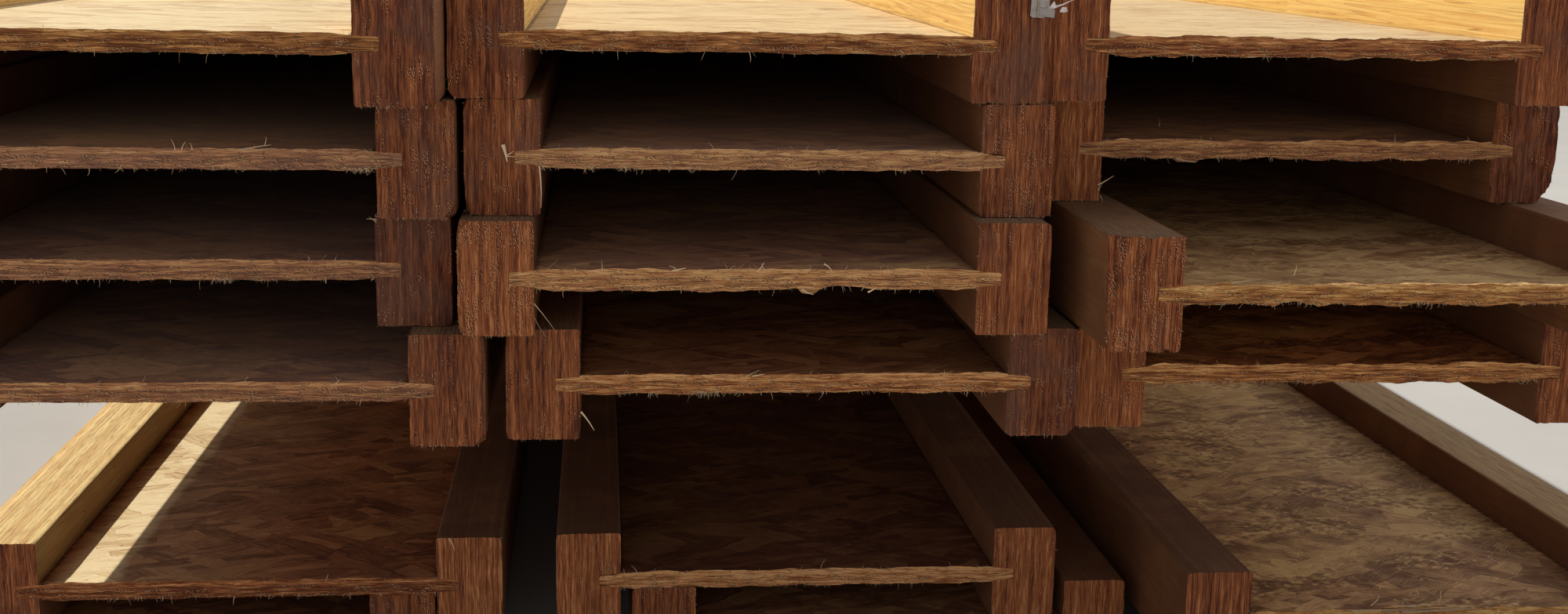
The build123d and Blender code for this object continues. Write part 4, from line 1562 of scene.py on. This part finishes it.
class JOISTS_OT_tag(bpy.types.Operator):
    """What is left of a torn blank tag on a flange's end: crumpled scraps, a strand and the staple"""
    bl_idname = "joists.tag"
    bl_label = "Torn tag"

    def execute(self, context):
        settings = context.scene.joists_tag
        material = tag_material(settings)
        creases = relief_texture("creases", 2)
        crease_size = stretch("crease size", (5 * MM, 5 * MM, 4 * MM))
        for name, place, size, turn, out, tone, cuts in TAG_SCRAPS:
            grid = {"x_subdivisions": SCRAP_CELLS, "y_subdivisions": SCRAP_CELLS, "size": 2.0}
            scrap = added(bpy.ops.mesh.primitive_grid_add, location=(0, 0, 0), **grid)
            scrap.name = name
            with editing(scrap):
                for (x, y), (nx, ny) in cuts:
                    bpy.ops.mesh.select_all(action="SELECT")
                    bpy.ops.mesh.bisect(
                        plane_co=(x, y, 0), plane_no=(nx, ny, 0), clear_outer=True, threshold=1e-5
                    )
            scrap.scale = (size[0] / 2 * MM, size[1] / 2 * MM, MM)
            scrap.rotation_euler = (math.pi / 2, math.radians(turn), 0)
            scrap.location = on_end(TAG_JOIST, *place, out)
            settle(scrap)
            displace(scrap, "", creases, crease_size, settings.crumple, "Y", 0.5)
            sheet = scrap.modifiers.new("sheet", "SOLIDIFY")
            sheet.thickness = settings.thickness
            sheet.offset = 0.0
            bpy.ops.object.modifier_apply(modifier=sheet.name)
            scrap.data.materials.append(material)
            bpy.ops.object.shade_smooth_by_angle(angle=SCRAP_ANGLE)
            give_numbers(scrap, {"tone": tone})
            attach(scrap, "root")
        bpy.data.objects.remove(crease_size)
        self.add_strand(material)
        self.add_staple(settings)
        return {"FINISHED"}

    def add_strand(self, material):
        """A twisted shred that sticks out to the right."""
        shred = Fibres(sliver_shape())
        foot = on_end(TAG_JOIST, *SHRED_FOOT)
        tip = on_end(TAG_JOIST, *SHRED_TIP)
        shred.add(foot, tip - foot, 1.3 * MM, (0, 0, -0.4 * MM), 0.85, 0.4)
        shred.add(foot, (tip - foot) * 0.5, 1.6 * MM, (0, -0.4 * MM, 0.4 * MM), 0.5, 0.3)
        shred.make("tag_strand", "flange_lvl", material, *cad_box)

    def add_staple(self, settings):
        """A flat wire staple, its back along the flange and its legs in the wood."""
        staple = added(bpy.ops.mesh.primitive_cube_add, size=1.0, location=(0, 0, 0))
        staple.name = "tag_staple"
        staple.scale = [part * MM for part in STAPLE_BACK]
        spot = on_end(TAG_JOIST, *STAPLE_PLACE)
        staple.location = spot
        settle(staple)
        half = STAPLE_BACK[2] / 2 * MM
        wire = STAPLE_BACK[1] * MM
        with editing(staple):
            cut(UP, [spot[2] + end * (half - wire) for end in (-1, 1)])
            for end in (-1, 1):
                place = spot[2] + end * (half - wire / 2)
                select_faces(
                    staple,
                    lambda face: face.normal.y > 0.9 and abs(face.calc_center_median().z - place) < 0.3 * MM,
                )
                bpy.ops.mesh.extrude_region_move(TRANSFORM_OT_translate={"value": (0, STAPLE_LEG * MM, 0)})
            bpy.ops.mesh.select_all(action="SELECT")
            bpy.ops.mesh.bevel(offset=STAPLE_BEVEL * MM, segments=2, affect="EDGES")
            bpy.ops.mesh.select_all(action="SELECT")
            bpy.ops.mesh.normals_make_consistent(inside=False)
        material, w, shader = new_material("staple wire")
        scuffs = w.group("Streaks", place=w.parts(w.place())["Z"], size=(0.8, 0.8, 0.8))
        base = w.ramp(scuffs["Broad"], [(0.3, STAPLE_SCUFF), (0.7, settings.wire)])
        finish(w, shader, base, w.rise(scuffs["Fine"], 0.3, 0.7, 0.35, 0.6), scuffs["Fine"], 0.05, 0.5)
        shader["Metallic"].default_value = 0.6
        staple.data.materials.append(material)
        bpy.ops.object.shade_smooth_by_angle(angle=SCRAP_ANGLE)
        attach(staple, "root")


# The key light: how large it looks, and which way it shines.
KEY_ANGLE = math.radians(0.7)
KEY_DIRECTION = Vector((0.65, -0.6, -1.0))
# Where the camera stands, and how it is turned right, tipped down and rolled.
CAMERA_PLACE = (-0.1375, -2.7649, 0.4445)
TURNED_RIGHT = math.radians(5.987)
TIPPED_DOWN = math.radians(11.823)
ROLLED = math.radians(1.1752)


class JOISTS_OT_stage(bpy.types.Operator):
    """Pale floor, soft lamps, and the camera in front of the stack"""
    bl_idname = "joists.stage"
    bl_label = "Studio"

    def execute(self, context):
        settings = context.scene.joists_stage
        self.add_floor(settings)
        self.add_world(context.scene, settings)
        self.add_key(settings)
        self.add_lamp(
            "front lamp", place=(-0.8, -5.2, 0.8), target=(0.0, -1.6, 0.25), size=2.0,
            power=settings.fill_power, tint=(1.0, 0.97, 0.94),
        )
        self.add_lamp(
            "side lamp", place=(3.2, -0.9, 1.6), target=(0.5, -1.6, 0.1), size=1.6,
            power=settings.side_power, tint=(1.0, 0.98, 0.95),
        )
        self.add_camera(context.scene, settings)
        context.scene.view_settings.view_transform = "Standard"
        return {"FINISHED"}

    def add_floor(self, settings):
        """A wide pale floor with a faint mottle."""
        floor = added(bpy.ops.mesh.primitive_plane_add, size=settings.floor_size, location=(0, 0, 0))
        floor.name = "floor"
        material, w, shader = new_material("pale floor")
        mottle = w.noise(w.place(), (160.0, 160.0, 160.0), detail=5.0, roughness=0.6)
        shade = w.ramp(mottle, [(0.3, [0.93 * part for part in settings.floor]), (0.7, settings.floor)])
        w.feed(shader["Base Color"], shade)
        shader["Roughness"].default_value = 0.9
        floor.data.materials.append(material)

    def add_world(self, scene, settings):
        """Light from all round, with its own colour where the camera or a mirror sees it."""
        world = bpy.data.worlds.new("studio")
        world.use_nodes = True
        scene.world = world
        w = Wires(world.node_tree)
        background = world.node_tree.nodes["Background"].inputs
        path = w.node("ShaderNodeLightPath").outputs
        seen = w.most(path["Is Camera Ray"], w.most(path["Is Glossy Ray"], path["Is Transmission Ray"]))
        w.feed(background["Color"], w.blend(seen, ROUND_LIGHT, settings.sky))
        strength = w.plus(w.times(seen, 1.0 - settings.ambient), settings.ambient)
        w.feed(background["Strength"], strength)

    def add_key(self, settings):
        """The key light from behind and above at the left, far away, so that its shadows are crisp."""
        key = bpy.data.lights.new("key light", "SUN")
        key.energy = settings.key_strength
        key.angle = KEY_ANGLE
        key.color = (1.0, 0.96, 0.9)
        holder = new_object("key light", key)
        holder.rotation_euler = KEY_DIRECTION.to_track_quat("-Z", "Y").to_euler()

    def add_lamp(self, name, place, target, size, power, tint):
        """A soft square lamp that looks at a point."""
        lamp = bpy.data.lights.new(name, "AREA")
        lamp.size = size
        lamp.energy = power
        lamp.color = tint
        holder = new_object(name, lamp)
        holder.location = place
        holder.rotation_euler = (Vector(target) - Vector(place)).to_track_quat("-Z", "Y").to_euler()

    def add_camera(self, scene, settings):
        """The camera stands a little left of the middle, turned right, tipped down and slightly rolled."""
        lens = bpy.data.cameras.new("camera")
        lens.lens = settings.lens
        lens.sensor_width = 36.0
        lens.sensor_fit = "HORIZONTAL"
        lens.clip_start = 0.01
        camera = new_object("camera", lens)
        level = Matrix.Rotation(-TURNED_RIGHT, 4, "Z") @ Matrix.Rotation(math.pi / 2 - TIPPED_DOWN, 4, "X")
        camera.matrix_world = Matrix.Translation(CAMERA_PLACE) @ level @ Matrix.Rotation(ROLLED, 4, "Z")
        scene.camera = camera


class JOISTS_PT_stack(bpy.types.Panel):
    """The stack's settings, each above the button that makes its pieces."""
    bl_idname = "JOISTS_PT_stack"
    bl_label = "Joist stack"
    bl_space_type = "VIEW_3D"
    bl_region_type = "UI"
    bl_category = "Joists"

    def draw(self, context):
        for settings_name, _, operator in STEPS:
            box = self.layout.box()
            settings = getattr(context.scene, settings_name)
            for name in settings.__annotations__:
                box.prop(settings, name)
            box.operator(operator.bl_idname)


STEPS = (
    ("joists_flange", JOISTS_PG_flange, JOISTS_OT_flanges),
    ("joists_web", JOISTS_PG_web, JOISTS_OT_webs),
    ("joists_spacer", JOISTS_PG_spacer, JOISTS_OT_spacers),
    ("joists_fibre", JOISTS_PG_fibre, JOISTS_OT_fibres),
    ("joists_tag", JOISTS_PG_tag, JOISTS_OT_tag),
    ("joists_stage", JOISTS_PG_stage, JOISTS_OT_stage),
)
CLASSES = (*(step[1] for step in STEPS), *(step[2] for step in STEPS), JOISTS_PT_stack)
SHARED_GROUPS = (make_streaks_group, make_plies_group, make_pits_group, make_strands_group, make_dirt_group)


def register():
    """Make the classes, and the settings on the scene, known to Blender."""
    for made in CLASSES:
        bpy.utils.register_class(made)
    for name, group, _ in STEPS:
        setattr(bpy.types.Scene, name, PointerProperty(type=group))


def unregister():
    """Take the settings and the classes away again."""
    for name, _, _ in STEPS:
        delattr(bpy.types.Scene, name)
    for made in reversed(CLASSES):
        bpy.utils.unregister_class(made)


def main():
    """Finish the stack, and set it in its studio."""
    register()
    for make_group in SHARED_GROUPS:
        make_group()
    bpy.ops.joists.flanges()
    bpy.ops.joists.webs()
    bpy.ops.joists.spacers()
    bpy.ops.joists.fibres()
    bpy.ops.joists.tag()
    bpy.ops.joists.stage()


if __name__ == "__main__":
    main()
